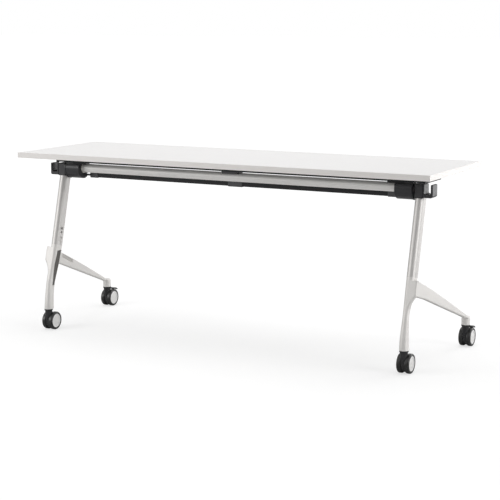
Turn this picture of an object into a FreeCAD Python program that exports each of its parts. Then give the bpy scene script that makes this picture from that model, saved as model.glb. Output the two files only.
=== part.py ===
"""Flip-top classroom desk: a board that tips up on a round beam, two leaning legs and four casters.

Millimetres. +X is the desk's right, +Y its rear, +Z up. While a piece is drawn, y = 0 is the middle of the
board; every piece is moved as it is written, so that the origin lies under the middle of the whole desk.
"""
import FreeCAD
import Part
import math
import os

os.makedirs("parts", exist_ok=True)

# Board
board_length = 1800.0
board_depth = 560.0
board_height = 745.0
board_thickness = 22.0
laminate_thickness = 0.9
band_thickness = 2.0
band_edge_radius = 0.8

# Pivot of the flip motion, on the axis of the round beam
pivot_from_front = 193.0
pivot_below_top = 73.0
beam_radius = 18.0
beam_wall = 2.5

# Legs
leg_spacing = 1591.0
leg_lean_deg = 14.4
column_width = 34.0
column_depth = 45.0
column_corner = 7.0
column_wall = 2.5
column_foot_joint_height = 352.0

# Feet
collar_height = 90.0
front_caster_forward = 147.0
rear_caster_back = 376.0
rear_caster_spread = 54.5
front_collar_width = 35.0
front_collar_depth = 35.25
rear_collar_radius = 17.0

# Casters
wheel_radius = 37.5
wheel_width = 18.5
wheel_gap = 13.0
caster_trail = 20.5
stem_radius = 5.5

# Clearances
running_clearance = 0.05
seat_clearance = 0.02
swivel_gap = 0.3
moving_gap = 0.4
screw_clearance = 0.1
overrun = 5.0

# Places worked out from the driving sizes
board_top = board_height
board_under = board_top - board_thickness
board_front = -board_depth / 2
pivot_y = board_front + pivot_from_front
pivot_z = board_top - pivot_below_top
leg_x = leg_spacing / 2
lean = math.radians(leg_lean_deg)
front_collar_y = pivot_y - front_caster_forward
rear_collar_y = pivot_y + rear_caster_back
rear_collar_x = leg_x + rear_caster_spread
desk_rear = rear_collar_y + caster_trail + wheel_radius
desk_middle_y = (board_front + desk_rear) / 2

X_DIR = FreeCAD.Vector(1, 0, 0)
Y_DIR = FreeCAD.Vector(0, 1, 0)
Z_DIR = FreeCAD.Vector(0, 0, 1)
SIDES = (("left", -1), ("right", 1))


def vec(x, y, z):
    return FreeCAD.Vector(x, y, z)


def box(x_low, x_high, y_low, y_high, z_low, z_high):
    """A block between two corners."""
    return Part.makeBox(x_high - x_low, y_high - y_low, z_high - z_low, vec(x_low, y_low, z_low))


def rod(radius, start, direction, length):
    """A round bar from a point along a direction."""
    return Part.makeCylinder(radius, length, start, direction)


def x_rod(radius, x_low, x_high, y, z):
    """A round bar along X between two x values."""
    return rod(radius, vec(x_low, y, z), X_DIR, x_high - x_low)


def union(first, *others):
    """One solid from several that overlap."""
    joined = first.fuse(list(others))
    return joined.removeSplitter()


def group(shapes):
    """Separate solids kept side by side in one node."""
    solids = []
    for shape in shapes:
        solids.extend(shape.Solids)
    return Part.makeCompound(solids)


def on_side(shape, side):
    """A right-hand piece as it is, or mirrored for the left-hand side."""
    if side > 0:
        return shape
    return shape.mirror(vec(0, 0, 0), X_DIR)


def round_edges(shape, radius, wanted):
    """Fillet the edges that the test accepts."""
    edges = [edge for edge in shape.Edges if wanted(edge)]
    return shape.makeFillet(radius, edges)


def runs_along(edge, direction):
    """True for a straight edge that is parallel to a direction."""
    if len(edge.Vertexes) < 2:
        return False
    span = edge.Vertexes[-1].Point.sub(edge.Vertexes[0].Point)
    if span.Length < running_clearance:
        return False
    return span.normalize().cross(direction).Length < math.radians(1)


def leg_point(across, behind, along):
    """A point in the leaning leg's own frame: across in X, behind its axis, along it above the pivot."""
    y = pivot_y + behind * math.cos(lean) + along * math.sin(lean)
    z = pivot_z - behind * math.sin(lean) + along * math.cos(lean)
    return vec(leg_x + across, y, z)


def leg_axis():
    """Direction up along the leaning leg."""
    return vec(0, math.sin(lean), math.cos(lean))


def nose_wire(width, depth, corner, place):
    """A section with a half-round front, flat sides and rounded rear corners; place maps it into space."""
    half = width / 2
    front = -depth / 2
    rear = depth / 2
    nose = front + half
    slant = corner * (1 - math.sqrt(1 / 2))
    a = place(-half, nose)
    b = place(0, front)
    c = place(half, nose)
    d = place(half, rear - corner)
    e = place(half - slant, rear - slant)
    f = place(half - corner, rear)
    g = place(corner - half, rear)
    h = place(slant - half, rear - slant)
    i = place(-half, rear - corner)
    edges = [
        Part.Arc(a, b, c).toShape(),
        Part.LineSegment(c, d).toShape(),
        Part.Arc(d, e, f).toShape(),
        Part.LineSegment(f, g).toShape(),
        Part.Arc(g, h, i).toShape(),
        Part.LineSegment(i, a).toShape(),
    ]
    return Part.Wire(edges)


def block_wire(width, depth, corner, place):
    """A rectangle with rounded corners; place maps it into space."""
    half = width / 2
    reach = depth / 2
    slant = corner * (1 - math.sqrt(1 / 2))
    corners = []
    for side_x, side_y in ((-1, -1), (1, -1), (1, 1), (-1, 1)):
        beside = place(side_x * half, side_y * (reach - corner))
        middle = place(side_x * (half - slant), side_y * (reach - slant))
        along_end = place(side_x * (half - corner), side_y * reach)
        if side_x == side_y:
            corners.append((beside, middle, along_end))
        else:
            corners.append((along_end, middle, beside))
    edges = []
    for index, (start, middle, stop) in enumerate(corners):
        following = corners[(index + 1) % len(corners)]
        edges.append(Part.Arc(start, middle, stop).toShape())
        edges.append(Part.LineSegment(stop, following[0]).toShape())
    return Part.Wire(edges)


def leg_section(width, depth, corner, along):
    """The column's section, square to the leaning axis."""
    return nose_wire(width, depth, corner, lambda across, behind: leg_point(across, behind, along))


def prism(wire, direction, length):
    """A closed wire filled and pushed along a direction."""
    return Part.Face(wire).extrude(direction * length)


# Board pieces

rail_from_front = 160.0
rail_bottom_drop = 48.4
rail_thickness = 2.0
rail_flange_depth = 28.0
rail_end_gap = 1.0
rail_screw_pitch = 185.0
rail_screw_count = 8
rail_screw_share = 0.6

bracket_before_drum = 32.0
bracket_past_drum = 48.0
bracket_thickness = 4.0
bracket_rear_reach = 150.0
bracket_lip_drop = 6.1
bracket_notch_along = 66.6
bracket_notch_width = 4.2
bracket_notch_rise = 4.0
bracket_flange_thickness = 2.5
bracket_flange_above = 21.0
bracket_corner = 12.0
bracket_screw_columns = (18.0, 68.0, 128.0)
bracket_screw_rows = (95.0, 132.0)

screw_shank = 2.4
screw_length = 15.0
screw_head_radius = 4.8
screw_head_height = 3.0
screw_recess_radius = 1.7
screw_recess_depth = 1.6

# The drums stand beside the leg heads, and the bracket and the rail follow the drums
cap_width = 35.0
drum_to_head_gap = 5.0
drum_length = 69.0
cap_inner_x = leg_x - cap_width / 2
drum_outer_x = cap_inner_x - drum_to_head_gap
drum_inner_x = drum_outer_x - drum_length
bracket_inner_x = drum_inner_x - bracket_before_drum
bracket_outer_x = drum_outer_x + bracket_past_drum
bracket_notch_x = bracket_inner_x + bracket_notch_along
rail_half_length = bracket_inner_x - rail_end_gap

rail_front = board_front + rail_from_front
rail_back = rail_front + rail_thickness
rail_bottom = board_top - rail_bottom_drop
rail_top_under = board_under - rail_thickness
bracket_under = board_under - bracket_thickness


def bracket_screw_places():
    """Screw centres of both brackets, x and y."""
    places = []
    for _, side in SIDES:
        for column in bracket_screw_columns:
            for row in bracket_screw_rows:
                places.append((side * (bracket_inner_x + column), pivot_y + row))
    return places


def rail_screw_places():
    """Screw centres along the rail's top flange, x and y."""
    first = -(rail_screw_count - 1) / 2
    y = rail_front + rail_flange_depth * rail_screw_share
    return [((first + index) * rail_screw_pitch, y) for index in range(rail_screw_count)]


def wood_screw(x, y, seat_z):
    """A pan-head screw that points up into the board from its seat."""
    shank = rod(screw_shank, vec(x, y, seat_z), Z_DIR, screw_length)
    head = rod(screw_head_radius, vec(x, y, seat_z - screw_head_height), Z_DIR, screw_head_height)
    head = round_edges(head, screw_head_height / 2,
                       lambda edge: edge.BoundBox.ZMax < seat_z - screw_clearance)
    recess = Part.makeCone(screw_recess_radius, 0, screw_recess_depth,
                           vec(x, y, seat_z - screw_head_height), Z_DIR)
    return union(shank, head).cut(recess)


def screw_holes(places, z_low, z_high):
    """Clearance holes for screws, between two heights."""
    radius = screw_shank + screw_clearance
    return [rod(radius, vec(x, y, z_low), Z_DIR, z_high - z_low) for x, y in places]


def board_pieces():
    """Core board, its two facings and the four edge strips."""
    half_length = board_length / 2
    half_depth = board_depth / 2
    core_x = half_length - band_thickness
    core_y = half_depth - band_thickness
    core_low = board_under + laminate_thickness
    core_high = board_top - laminate_thickness
    bracket_tip = bracket_under + screw_length + screw_clearance
    rail_tip = rail_top_under + screw_length + screw_clearance
    bracket_holes = screw_holes(bracket_screw_places(), board_under - overrun, bracket_tip)
    rail_holes = screw_holes(rail_screw_places(), board_under - overrun, rail_tip)
    core = box(-core_x, core_x, -core_y, core_y, core_low, core_high)
    core = core.cut(bracket_holes + rail_holes)
    facing = box(-core_x, core_x, -core_y, core_y, core_high, board_top)
    backing = box(-core_x, core_x, -core_y, core_y, board_under, core_low)
    backing = backing.cut(bracket_holes + rail_holes)
    strips = []
    for sign in (-1, 1):
        low = min(sign * core_y, sign * half_depth)
        long_strip = box(-half_length, half_length, low, low + band_thickness, board_under, board_top)
        outer_y = sign * half_depth
        long_strip = round_edges(
            long_strip, band_edge_radius,
            lambda edge: runs_along(edge, X_DIR) and abs(edge.BoundBox.YMin - outer_y) < running_clearance)
        strips.append(long_strip)
        low = min(sign * core_x, sign * half_length)
        short_strip = box(low, low + band_thickness, -core_y, core_y, board_under, board_top)
        outer_x = sign * half_length
        short_strip = round_edges(
            short_strip, band_edge_radius,
            lambda edge: runs_along(edge, Y_DIR) and abs(edge.BoundBox.XMin - outer_x) < running_clearance)
        strips.append(short_strip)
    return {"board_core": core, "board_facing": facing, "board_backing": backing,
            "edge_strips": group(strips)}


def front_rail():
    """Black angle rail under the board, in front of the beam, between the two brackets."""
    upright = box(-rail_half_length, rail_half_length, rail_front, rail_back, rail_bottom, board_under)
    flange_back = rail_front + rail_flange_depth
    flange = box(-rail_half_length, rail_half_length, rail_front, flange_back, rail_top_under, board_under)
    rail = union(upright, flange)
    return rail.cut(screw_holes(rail_screw_places(), rail_top_under - overrun, board_under + overrun))


def top_bracket():
    """Steel plate under the board, turned down in front as a notched lip and outside as a flange."""
    rear = pivot_y + bracket_rear_reach
    plate = box(bracket_inner_x, bracket_outer_x, rail_front, rear, bracket_under, board_under)
    plate = round_edges(plate, bracket_corner,
                        lambda edge: runs_along(edge, Z_DIR) and edge.BoundBox.YMin > pivot_y)
    lip = box(bracket_inner_x, bracket_outer_x, rail_front, rail_back, rail_bottom, board_under)
    low_lip = box(bracket_inner_x, bracket_notch_x, rail_front, rail_back, rail_bottom - bracket_lip_drop,
                  board_under)
    notch = box(bracket_notch_x, bracket_notch_x + bracket_notch_width,
                rail_front - overrun, rail_back + overrun,
                rail_bottom - overrun, rail_bottom + bracket_notch_rise)
    flange = box(bracket_outer_x - bracket_flange_thickness, bracket_outer_x, rail_front,
                 rear - bracket_corner, pivot_z + bracket_flange_above, board_under)
    bracket = union(plate, lip.cut(notch), low_lip, flange)
    places = [(x, y) for x, y in bracket_screw_places() if x > 0]
    return bracket.cut(screw_holes(places, bracket_under - overrun, board_under + overrun))


def board_screws():
    """Screws that hold the brackets and the rail to the board."""
    bracket_screws = [wood_screw(x, y, bracket_under) for x, y in bracket_screw_places()]
    rail_screws = [wood_screw(x, y, rail_top_under) for x, y in rail_screw_places()]
    return {"bracket_screws": group(bracket_screws), "rail_screws": group(rail_screws)}


# Beam, drums and the lock

drum_radius = 43.0
drum_wall = 3.0
drum_block_front = 29.0
drum_block_rear = 40.0
drum_shelf_above = 17.0
drum_rim_width = 5.0
drum_rim_step = 1.5
bush_wall = 3.0
bush_flange = 2.0
bush_flange_width = 3.0

lock_disc_radius = 27.0
lock_disc_thickness = 5.0
lock_disc_past_wall = 5.0
notch_width = 6.4
notch_depth = 4.5

saddle_half_top = 42.0
saddle_half_bottom = 33.0
saddle_front = 25.0
saddle_rear = 25.0
saddle_drop = 14.0

latch_pin_behind = 29.0
latch_pin_above = 28.0
latch_pin_radius = 3.0
latch_pin_length = 22.0
latch_plate_depth = 8.0
latch_eye_radius = 6.5
tooth_height = 5.6
bar_behind = 30.0
bar_below = 31.0
bar_depth = 12.0
bar_height = 18.0
bar_corner = 2.5
bar_in_sleeve = 10.0
latch_rod_size = 8.0
end_sleeve_length = 38.0
sleeve_to_drum_gap = 14.0
sleeve_wall = 2.0
grip_half_length = 32.5
latch_window_length = 18.0
latch_window_margin = 4.0
latch_window_rear = 19.0
latch_window_below = 4.0
spring_wire = 0.7
spring_radius = 4.6
spring_turns = 4
spring_pitch = 1.8

latch_pin_y = pivot_y + latch_pin_behind
latch_pin_z = pivot_z + latch_pin_above
bar_y = pivot_y + bar_behind
bar_z = pivot_z - bar_below
lock_disc_x = drum_inner_x + lock_disc_past_wall
latch_window_end = drum_inner_x + latch_window_length
end_sleeve_outer_x = drum_inner_x - sleeve_to_drum_gap
end_sleeve_inner_x = end_sleeve_outer_x - end_sleeve_length
bar_half_length = end_sleeve_inner_x + bar_in_sleeve

def cross_beam():
    """Round tube between the two leg heads."""
    outer = x_rod(beam_radius, -cap_inner_x, cap_inner_x, pivot_y, pivot_z)
    bore = x_rod(beam_radius - beam_wall, -cap_inner_x - overrun, cap_inner_x + overrun, pivot_y, pivot_z)
    return outer.cut(bore)


def drum_outline(inset, x_low, x_high):
    """Drum with a block up to the bracket and a shelf for its lip, drawn smaller by an inset."""
    barrel = x_rod(drum_radius - inset, x_low, x_high, pivot_y, pivot_z)
    front = pivot_y - drum_block_front + inset
    barrel = barrel.cut(box(x_low - overrun, x_high + overrun, front - drum_radius, front,
                            pivot_z + drum_shelf_above - inset, bracket_under))
    rear = pivot_y + drum_block_rear - inset
    block = box(x_low, x_high, front, rear, pivot_z, bracket_under - inset)
    return union(barrel, block)


def hinge_drum():
    """Hollow hinge housing that turns with the board, open below at its inner end for the latch."""
    shell = drum_outline(0, drum_inner_x, drum_outer_x)
    rim = x_rod(drum_radius + drum_rim_step, drum_outer_x - drum_rim_width, drum_outer_x, pivot_y, pivot_z)
    clear_above = box(drum_inner_x, drum_outer_x + overrun,
                      pivot_y - drum_radius - overrun, pivot_y + drum_radius + overrun,
                      pivot_z + drum_block_front / 2, bracket_under + overrun)
    shell = union(shell, rim.cut(clear_above))
    shell = shell.cut(drum_outline(drum_wall, drum_inner_x + drum_wall, drum_outer_x - drum_wall))
    bush_outer = beam_radius + running_clearance + bush_wall
    bore = x_rod(bush_outer + seat_clearance, drum_inner_x - overrun, drum_outer_x + overrun, pivot_y,
                 pivot_z)
    window_low = bar_z - bar_height
    window_high = bar_z + latch_rod_size / 2 + latch_window_margin
    window_front = bar_y - latch_rod_size / 2 - latch_window_margin
    window_rear = bar_y + latch_window_rear
    window = box(drum_inner_x - overrun, latch_window_end, window_front, window_rear, window_low, window_high)
    swing_room = box(drum_inner_x + drum_wall, latch_window_end, bar_y, window_rear, window_low,
                     pivot_z - latch_window_below)
    pin_hole = x_rod(latch_pin_radius + seat_clearance, drum_inner_x - overrun,
                     drum_inner_x + drum_wall + overrun, latch_pin_y, latch_pin_z)
    return shell.cut([bore, window, swing_room, pin_hole])


def pivot_bushes():
    """Four plain bearings between the beam and the drums' end walls."""
    inner = beam_radius + running_clearance
    outer = inner + bush_wall
    bushes = []
    for _, side in SIDES:
        for wall_x, inward in ((drum_inner_x, 1), (drum_outer_x, -1)):
            far = wall_x + inward * drum_wall
            flange_far = far + inward * bush_flange
            sleeve = x_rod(outer, min(wall_x, far), max(wall_x, far), pivot_y, pivot_z)
            flange = x_rod(outer + bush_flange_width, min(far, flange_far), max(far, flange_far), pivot_y,
                           pivot_z)
            bush = union(sleeve, flange)
            bush = bush.cut(x_rod(inner, wall_x - cap_width, wall_x + cap_width, pivot_y, pivot_z))
            bushes.append(on_side(bush, side))
    return group(bushes)


def lock_discs():
    """Notched rings fixed on the beam: one notch for the level board, one for the tipped board."""
    far = lock_disc_x + lock_disc_thickness
    disc = x_rod(lock_disc_radius, lock_disc_x, far, pivot_y, pivot_z)
    bore = x_rod(beam_radius + seat_clearance, lock_disc_x - overrun, far + overrun, pivot_y, pivot_z)
    notch_start = lock_disc_radius - notch_depth
    level_notch = box(lock_disc_x - overrun, far + overrun,
                      pivot_y + notch_start, pivot_y + lock_disc_radius + overrun,
                      pivot_z - notch_width / 2, pivot_z + notch_width / 2)
    tipped_notch = box(lock_disc_x - overrun, far + overrun,
                       pivot_y - notch_width / 2, pivot_y + notch_width / 2,
                       pivot_z - lock_disc_radius - overrun, pivot_z - notch_start)
    disc = disc.cut([bore, level_notch, tipped_notch])
    return group([on_side(disc, side) for _, side in SIDES])


def beam_saddle():
    """Tapered pad under the middle of the board that sits over the beam."""
    bottom = pivot_z + saddle_drop
    corners = [
        vec(-saddle_half_bottom, pivot_y - saddle_front, bottom),
        vec(saddle_half_bottom, pivot_y - saddle_front, bottom),
        vec(saddle_half_top, pivot_y - saddle_front, rail_top_under),
        vec(-saddle_half_top, pivot_y - saddle_front, rail_top_under),
    ]
    pad = prism(Part.makePolygon(corners + corners[:1]), Y_DIR, saddle_front + saddle_rear)
    return pad.cut(x_rod(beam_radius + moving_gap, -board_depth, board_depth, pivot_y, pivot_z))


def release_bar():
    """Long bar under the beam that draws both latches."""
    bar = box(-bar_half_length, bar_half_length, bar_y - bar_depth / 2, bar_y + bar_depth / 2,
              bar_z - bar_height / 2, bar_z + bar_height / 2)
    return round_edges(bar, bar_corner, lambda edge: runs_along(edge, X_DIR))


def sleeve_shell(x_low, x_high):
    """Rounded block around the release bar, larger than the bar by the sleeve's wall."""
    half_depth = bar_depth / 2 + sleeve_wall
    half_height = bar_height / 2 + sleeve_wall
    shell = box(x_low, x_high, bar_y - half_depth, bar_y + half_depth, bar_z - half_height,
                bar_z + half_height)
    return round_edges(shell, bar_corner, lambda edge: True)


def bar_sleeves():
    """Moulded grips on the release bar: one in the middle and one at each end."""
    shapes = [sleeve_shell(-grip_half_length, grip_half_length).cut(release_bar())]
    for _, side in SIDES:
        sleeve = sleeve_shell(end_sleeve_inner_x, end_sleeve_outer_x)
        shapes.append(on_side(sleeve.cut([release_bar(), latch_rod()]), side))
    return group(shapes)


def latch_rod():
    """Square rod that joins the bar's end to the latch plate inside the drum."""
    half = latch_rod_size / 2
    return box(bar_half_length, lock_disc_x + lock_disc_thickness, bar_y - half, bar_y + half, bar_z - half,
               bar_z + half)


def latch():
    """Swinging plate on its pin inside the drum, with the tooth that meets the lock disc."""
    far = lock_disc_x + lock_disc_thickness
    half = latch_plate_depth / 2
    plate = box(lock_disc_x, far, bar_y - half, bar_y + half, bar_z - latch_rod_size / 2, latch_pin_z)
    eye = x_rod(latch_eye_radius, lock_disc_x, far, latch_pin_y, latch_pin_z)
    tip_y = pivot_y + lock_disc_radius + moving_gap
    half_tooth = tooth_height / 2
    tooth = box(lock_disc_x, far, tip_y, bar_y, pivot_z - half_tooth, pivot_z + half_tooth)
    blank = union(plate, eye, tooth, latch_rod())
    hole = x_rod(latch_pin_radius + running_clearance, lock_disc_x - overrun, far + overrun, latch_pin_y,
                 latch_pin_z)
    return blank.cut([hole, x_rod(lock_disc_radius + moving_gap, lock_disc_x - overrun, far + overrun,
                                  pivot_y, pivot_z)])


def latch_pins():
    """Pins that carry the latches, held in the drums' inner walls."""
    pin = x_rod(latch_pin_radius, drum_inner_x, drum_inner_x + latch_pin_length, latch_pin_y, latch_pin_z)
    return group([on_side(pin, side) for _, side in SIDES])


def latch_springs():
    """Coiled return springs around the latch pins."""
    start_x = lock_disc_x + lock_disc_thickness + 2 * spring_wire
    helix = Part.makeHelix(spring_pitch, spring_pitch * spring_turns, spring_radius)
    circle = Part.makeCircle(spring_wire, vec(spring_radius, 0, 0), Y_DIR)
    coil = Part.Wire(helix).makePipeShell([Part.Wire(circle)], True, True)
    coil.rotate(vec(0, 0, 0), Y_DIR, 90)
    coil.translate(vec(start_x, latch_pin_y, latch_pin_z))
    return group([on_side(coil, side) for _, side in SIDES])


# Leg heads, hooks and columns

cap_front = 32.0
cap_rear = 17.0
cap_below = 33.0
cap_above = 19.0
cap_corner = 4.0
cap_top_round = 3.0
cap_plug_length = 45.0
cap_spigot_length = 55.0

hook_base_thickness = 4.5
hook_gap = 26.0
hook_plate_thickness = 7.5
hook_floor_thickness = 12.5
hook_rear = 18.0
hook_above = 18.0
hook_below = 31.0
hook_round = 2.2
hook_corner = 3.0
hook_turn_round = 9.0
hook_heel_round = 10.0
hook_inner_round = 7.0
hook_screw_forward = 7.0
hook_screw_heights = (-12.0, 7.0)
hook_screw_sink = 0.3

column_slot_length = 11.0
column_slot_height = 9.0
column_slots_above_joint = (13.0, 30.0, 53.0, 70.0)
column_slot_behind = 2.0
column_slot_share = 0.75

machine_screw_radius = 2.5
machine_head_radius = 4.5
machine_head_height = 2.4
machine_screw_length = 14.0
leg_screw_offsets = (18.0, 40.0)

joint_along = (column_foot_joint_height - pivot_z) / math.cos(lean)
column_top_along = -cap_below
column_top = pivot_z - cap_below


def rear_screw(across, along, behind):
    """A button-head screw that enters the leg from its rear face."""
    inward = vec(0, -math.cos(lean), math.sin(lean))
    seat = leg_point(across, behind, along)
    shank = rod(machine_screw_radius, seat, inward, machine_screw_length)
    head = rod(machine_head_radius, seat, inward * -1, machine_head_height)
    return union(shank, head)


def rear_screw_hole(across, along, behind):
    """The clearance hole for a rear screw."""
    inward = vec(0, -math.cos(lean), math.sin(lean))
    seat = leg_point(across, behind + overrun, along)
    return rod(machine_screw_radius + screw_clearance, seat, inward,
               machine_screw_length + overrun + screw_clearance)


def leg_screw_alongs():
    """Heights along the leg of the screws into the head's spigot and the foot's spigot."""
    upper = [column_top_along - offset for offset in leg_screw_offsets]
    lower = [joint_along + offset for offset in leg_screw_offsets]
    return upper + lower


def spigot_solid(along_low, along_high):
    """The plug that fits inside the column, between two heights along the leg."""
    shrink = 2 * (column_wall + seat_clearance)
    wire = leg_section(column_width - shrink, column_depth - shrink, column_corner - column_wall, along_low)
    return prism(wire, leg_axis(), along_high - along_low)


def leg_head():
    """Cast block at the top of the leg, with a plug for the beam and a spigot for the column."""
    middle_y = pivot_y + (cap_rear - cap_front) / 2
    section = block_wire(cap_width, cap_front + cap_rear, cap_corner,
                         lambda across, behind: vec(leg_x + across, middle_y + behind, column_top))
    body = prism(section, Z_DIR, cap_below + cap_above)
    crown_z = pivot_z + cap_above
    body = round_edges(body, cap_top_round, lambda edge: edge.BoundBox.ZMin > crown_z - running_clearance)
    plug = x_rod(beam_radius - beam_wall - seat_clearance, cap_inner_x - cap_plug_length, leg_x, pivot_y,
                 pivot_z)
    spigot = spigot_solid(-cap_below - cap_spigot_length, -cap_below / 2)
    head = union(body, plug, spigot)
    behind = column_depth / 2
    holes = [rear_screw_hole(0, along, behind) for along in leg_screw_alongs()[:2]]
    return head.cut(holes + hook_screw_holes())


def hook_screw(height, spare, overreach):
    """A sunk screw across the hook's base, grown all round by a spare gap and outwards by an overreach."""
    face = leg_x + cap_width / 2 + hook_base_thickness
    y = pivot_y - hook_screw_forward
    z = pivot_z + height
    head_end = face - hook_screw_sink
    head_start = head_end - machine_head_height
    shank = x_rod(machine_screw_radius + spare, face - machine_screw_length - spare, head_end, y, z)
    head = Part.makeCone(machine_screw_radius + spare, machine_head_radius + spare, machine_head_height,
                         vec(head_start, y, z), X_DIR)
    if overreach > 0:
        mouth = x_rod(machine_head_radius + spare, head_end, face + overreach, y, z)
        return union(shank, head, mouth)
    return union(shank, head)


def hook_screw_holes():
    """Sunk holes through the hook's base and into the head."""
    return [hook_screw(height, screw_clearance, overrun) for height in hook_screw_heights]


def bag_hook():
    """J-shaped hook on the outer side of the leg head: a front outline met by a side outline."""
    inner = leg_x + cap_width / 2
    base = inner + hook_base_thickness
    gap_end = base + hook_gap
    outer = gap_end + hook_plate_thickness
    bottom = pivot_z - hook_below
    top = pivot_z + hook_above
    floor = bottom + hook_floor_thickness
    front = pivot_y - cap_front
    rear = pivot_y + hook_rear
    outline = [(inner, bottom), (outer, bottom), (outer, top), (gap_end, top),
               (gap_end, floor), (base, floor), (base, top), (inner, top)]
    points = [vec(x, front, z) for x, z in outline]
    front_view = prism(Part.makePolygon(points + points[:1]), Y_DIR, rear - front)
    front_view = round_edges(front_view, hook_inner_round,
                             lambda edge: runs_along(edge, Y_DIR)
                             and abs(edge.CenterOfMass.z - floor) < running_clearance)
    front_view = round_edges(front_view, hook_turn_round,
                             lambda edge: runs_along(edge, Y_DIR)
                             and edge.BoundBox.XMin > outer - running_clearance
                             and edge.BoundBox.ZMax < bottom + running_clearance)
    side_view = box(inner, outer, front, rear, bottom, top)
    side_view = round_edges(side_view, hook_heel_round,
                            lambda edge: runs_along(edge, X_DIR)
                            and edge.BoundBox.YMin > rear - running_clearance
                            and edge.BoundBox.ZMax < bottom + running_clearance)
    side_view = round_edges(side_view, hook_corner,
                            lambda edge: runs_along(edge, X_DIR)
                            and (edge.BoundBox.YMax < front + running_clearance
                                 or edge.BoundBox.ZMin > top - running_clearance))
    side_view = round_edges(side_view, hook_round,
                            lambda edge: edge.BoundBox.XMin > outer - running_clearance)
    return front_view.common(side_view).cut(hook_screw_holes())


def hook_screws():
    """Sunk screws that hold the hooks to the leg heads."""
    screws = []
    for _, side in SIDES:
        for height in hook_screw_heights:
            screws.append(on_side(hook_screw(height, 0, 0), side))
    return group(screws)


def column():
    """Leaning tube of the leg, cut level under the head, with four small slots low on its inner face."""
    length = -joint_along
    tube = prism(leg_section(column_width, column_depth, column_corner, joint_along), leg_axis(), length)
    inner = leg_section(column_width - 2 * column_wall, column_depth - 2 * column_wall,
                        column_corner - column_wall, joint_along - overrun)
    tube = tube.cut(prism(inner, leg_axis(), length + 2 * overrun))
    cutters = [box(leg_x - column_width, leg_x + column_width, pivot_y - column_depth, pivot_y + column_depth,
                   column_top, pivot_z + column_depth)]
    for height in column_slots_above_joint:
        low = joint_along + height - column_slot_height / 2
        front = column_slot_behind - column_slot_length / 2
        corners = [leg_point(-column_width, front, low),
                   leg_point(-column_width, front + column_slot_length, low),
                   leg_point(-column_width, front + column_slot_length, low + column_slot_height),
                   leg_point(-column_width, front, low + column_slot_height)]
        cutters.append(prism(Part.makePolygon(corners + corners[:1]), X_DIR,
                             column_width * column_slot_share))
    cutters += [rear_screw_hole(0, along, column_depth / 2) for along in leg_screw_alongs()]
    return tube.cut(cutters)


def leg_screws():
    """Screws through the column's rear face into both spigots."""
    screws = []
    for _, side in SIDES:
        for along in leg_screw_alongs():
            screws.append(on_side(rear_screw(0, along, column_depth / 2), side))
    return group(screws)


# Feet

foot_spigot_length = 52.0
shin_corner = 9.0
shin_heights = (310.0, 262.0, 215.0, 160.0, 112.0)
shin_across = (-0.5, -1.5, -2.0, -1.0, -1.0)
shin_forward = (94.0, 110.5, 128.0, 140.5, 146.5)
shin_widths = (32.5, 28.5, 24.5, 29.0, 32.5)
shin_depths = (43.5, 38.5, 36.0, 34.0, 35.5)
shin_twists_deg = (4.0, 13.0, 20.0, 12.0, 4.0)

flank_inner = -11.0
flank_outer = 37.5
flank_top_drop = 7.0
flank_turn_drop = 64.0
flank_middle_across = 21.5
flank_middle_drop = 90.0
flank_foot_across = 15.0
flank_foot_drop = 146.0
flank_front_top = 22.8
flank_front_foot = 25.8
flank_rear_top = 26.0
flank_rear_drop = 19.0
flank_rear_turn = -2.0
flank_rear_foot = -11.0
flank_turn_round = 12.0
flank_round = 8.0
flank_slant = 0.35
flank_top_height = column_foot_joint_height - flank_top_drop
flank_turn_height = column_foot_joint_height - flank_turn_drop
flank_middle_height = column_foot_joint_height - flank_middle_drop
flank_foot_height = column_foot_joint_height - flank_foot_drop

branch_thickness = 20.0
branch_outer_front = 34.5
branch_start = 101.0
branch_top_start = 345.0
branch_crown_back = 147.0
branch_crown_height = 234.0
branch_top_end = 123.0
branch_tail_height = 112.0
branch_nose_height = 286.0
branch_nose_forward = 113.0
branch_arch_forward = 30.0
branch_arch_height = 262.0
branch_edge_round = 4.0
collar_top_round = 5.0
collar_proud = 1.0
collar_rise = 1.5

slot_top_height = 330.0
slot_top_front = 97.0
slot_top_rear = 72.0
slot_middle_height = 270.0
slot_middle_front = 118.5
slot_middle_rear = 91.0
slot_bottom_height = 188.0
slot_bottom_front = 137.0
slot_bottom_rear = 123.0
slot_top_across = 15.6
slot_bottom_across = 13.2
slot_top_centre = 86.0
slot_bottom_centre = 136.0
slot_turn_deg = 14.0
slot_depth = 6.0
slot_cover_depth = 3.0

pocket_front = 12.0
pocket_rear = 72.0
pocket_top_drop = 4.0
pocket_height = 14.5
pocket_depth = 4.0
pocket_plate_gap = 1.8
pocket_plate_thickness = 3.0

stem_hole_depth = 33.0


def axis_y_at(height):
    """Where the leaning axis lies at a height."""
    return pivot_y + (height - pivot_z) * math.tan(lean)


def shin_wire(height, aside, forward, width, depth, twist_deg):
    """A level section of the front leg, turned a little so that its rear leans inwards."""
    twist = math.radians(twist_deg)
    centre_y = pivot_y - forward
    corner = min(shin_corner, width / 2 - running_clearance, depth / 2 - running_clearance)

    def place(across, behind):
        x = leg_x + aside + across * math.cos(twist) - behind * math.sin(twist)
        y = centre_y + across * math.sin(twist) + behind * math.cos(twist)
        return vec(x, y, height)

    return nose_wire(width, depth, corner, place)


def shin():
    """Front leg of the foot: the column's section drawn down to the front collar."""
    wires = [leg_section(column_width, column_depth, column_corner, joint_along)]
    for index, height in enumerate(shin_heights):
        wires.append(shin_wire(height, shin_across[index], shin_forward[index], shin_widths[index],
                               shin_depths[index], shin_twists_deg[index]))
    wires.append(shin_wire(collar_height, 0, front_caster_forward, front_collar_width, front_collar_depth,
                           0))
    return Part.makeLoft(wires, True, False)


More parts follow.
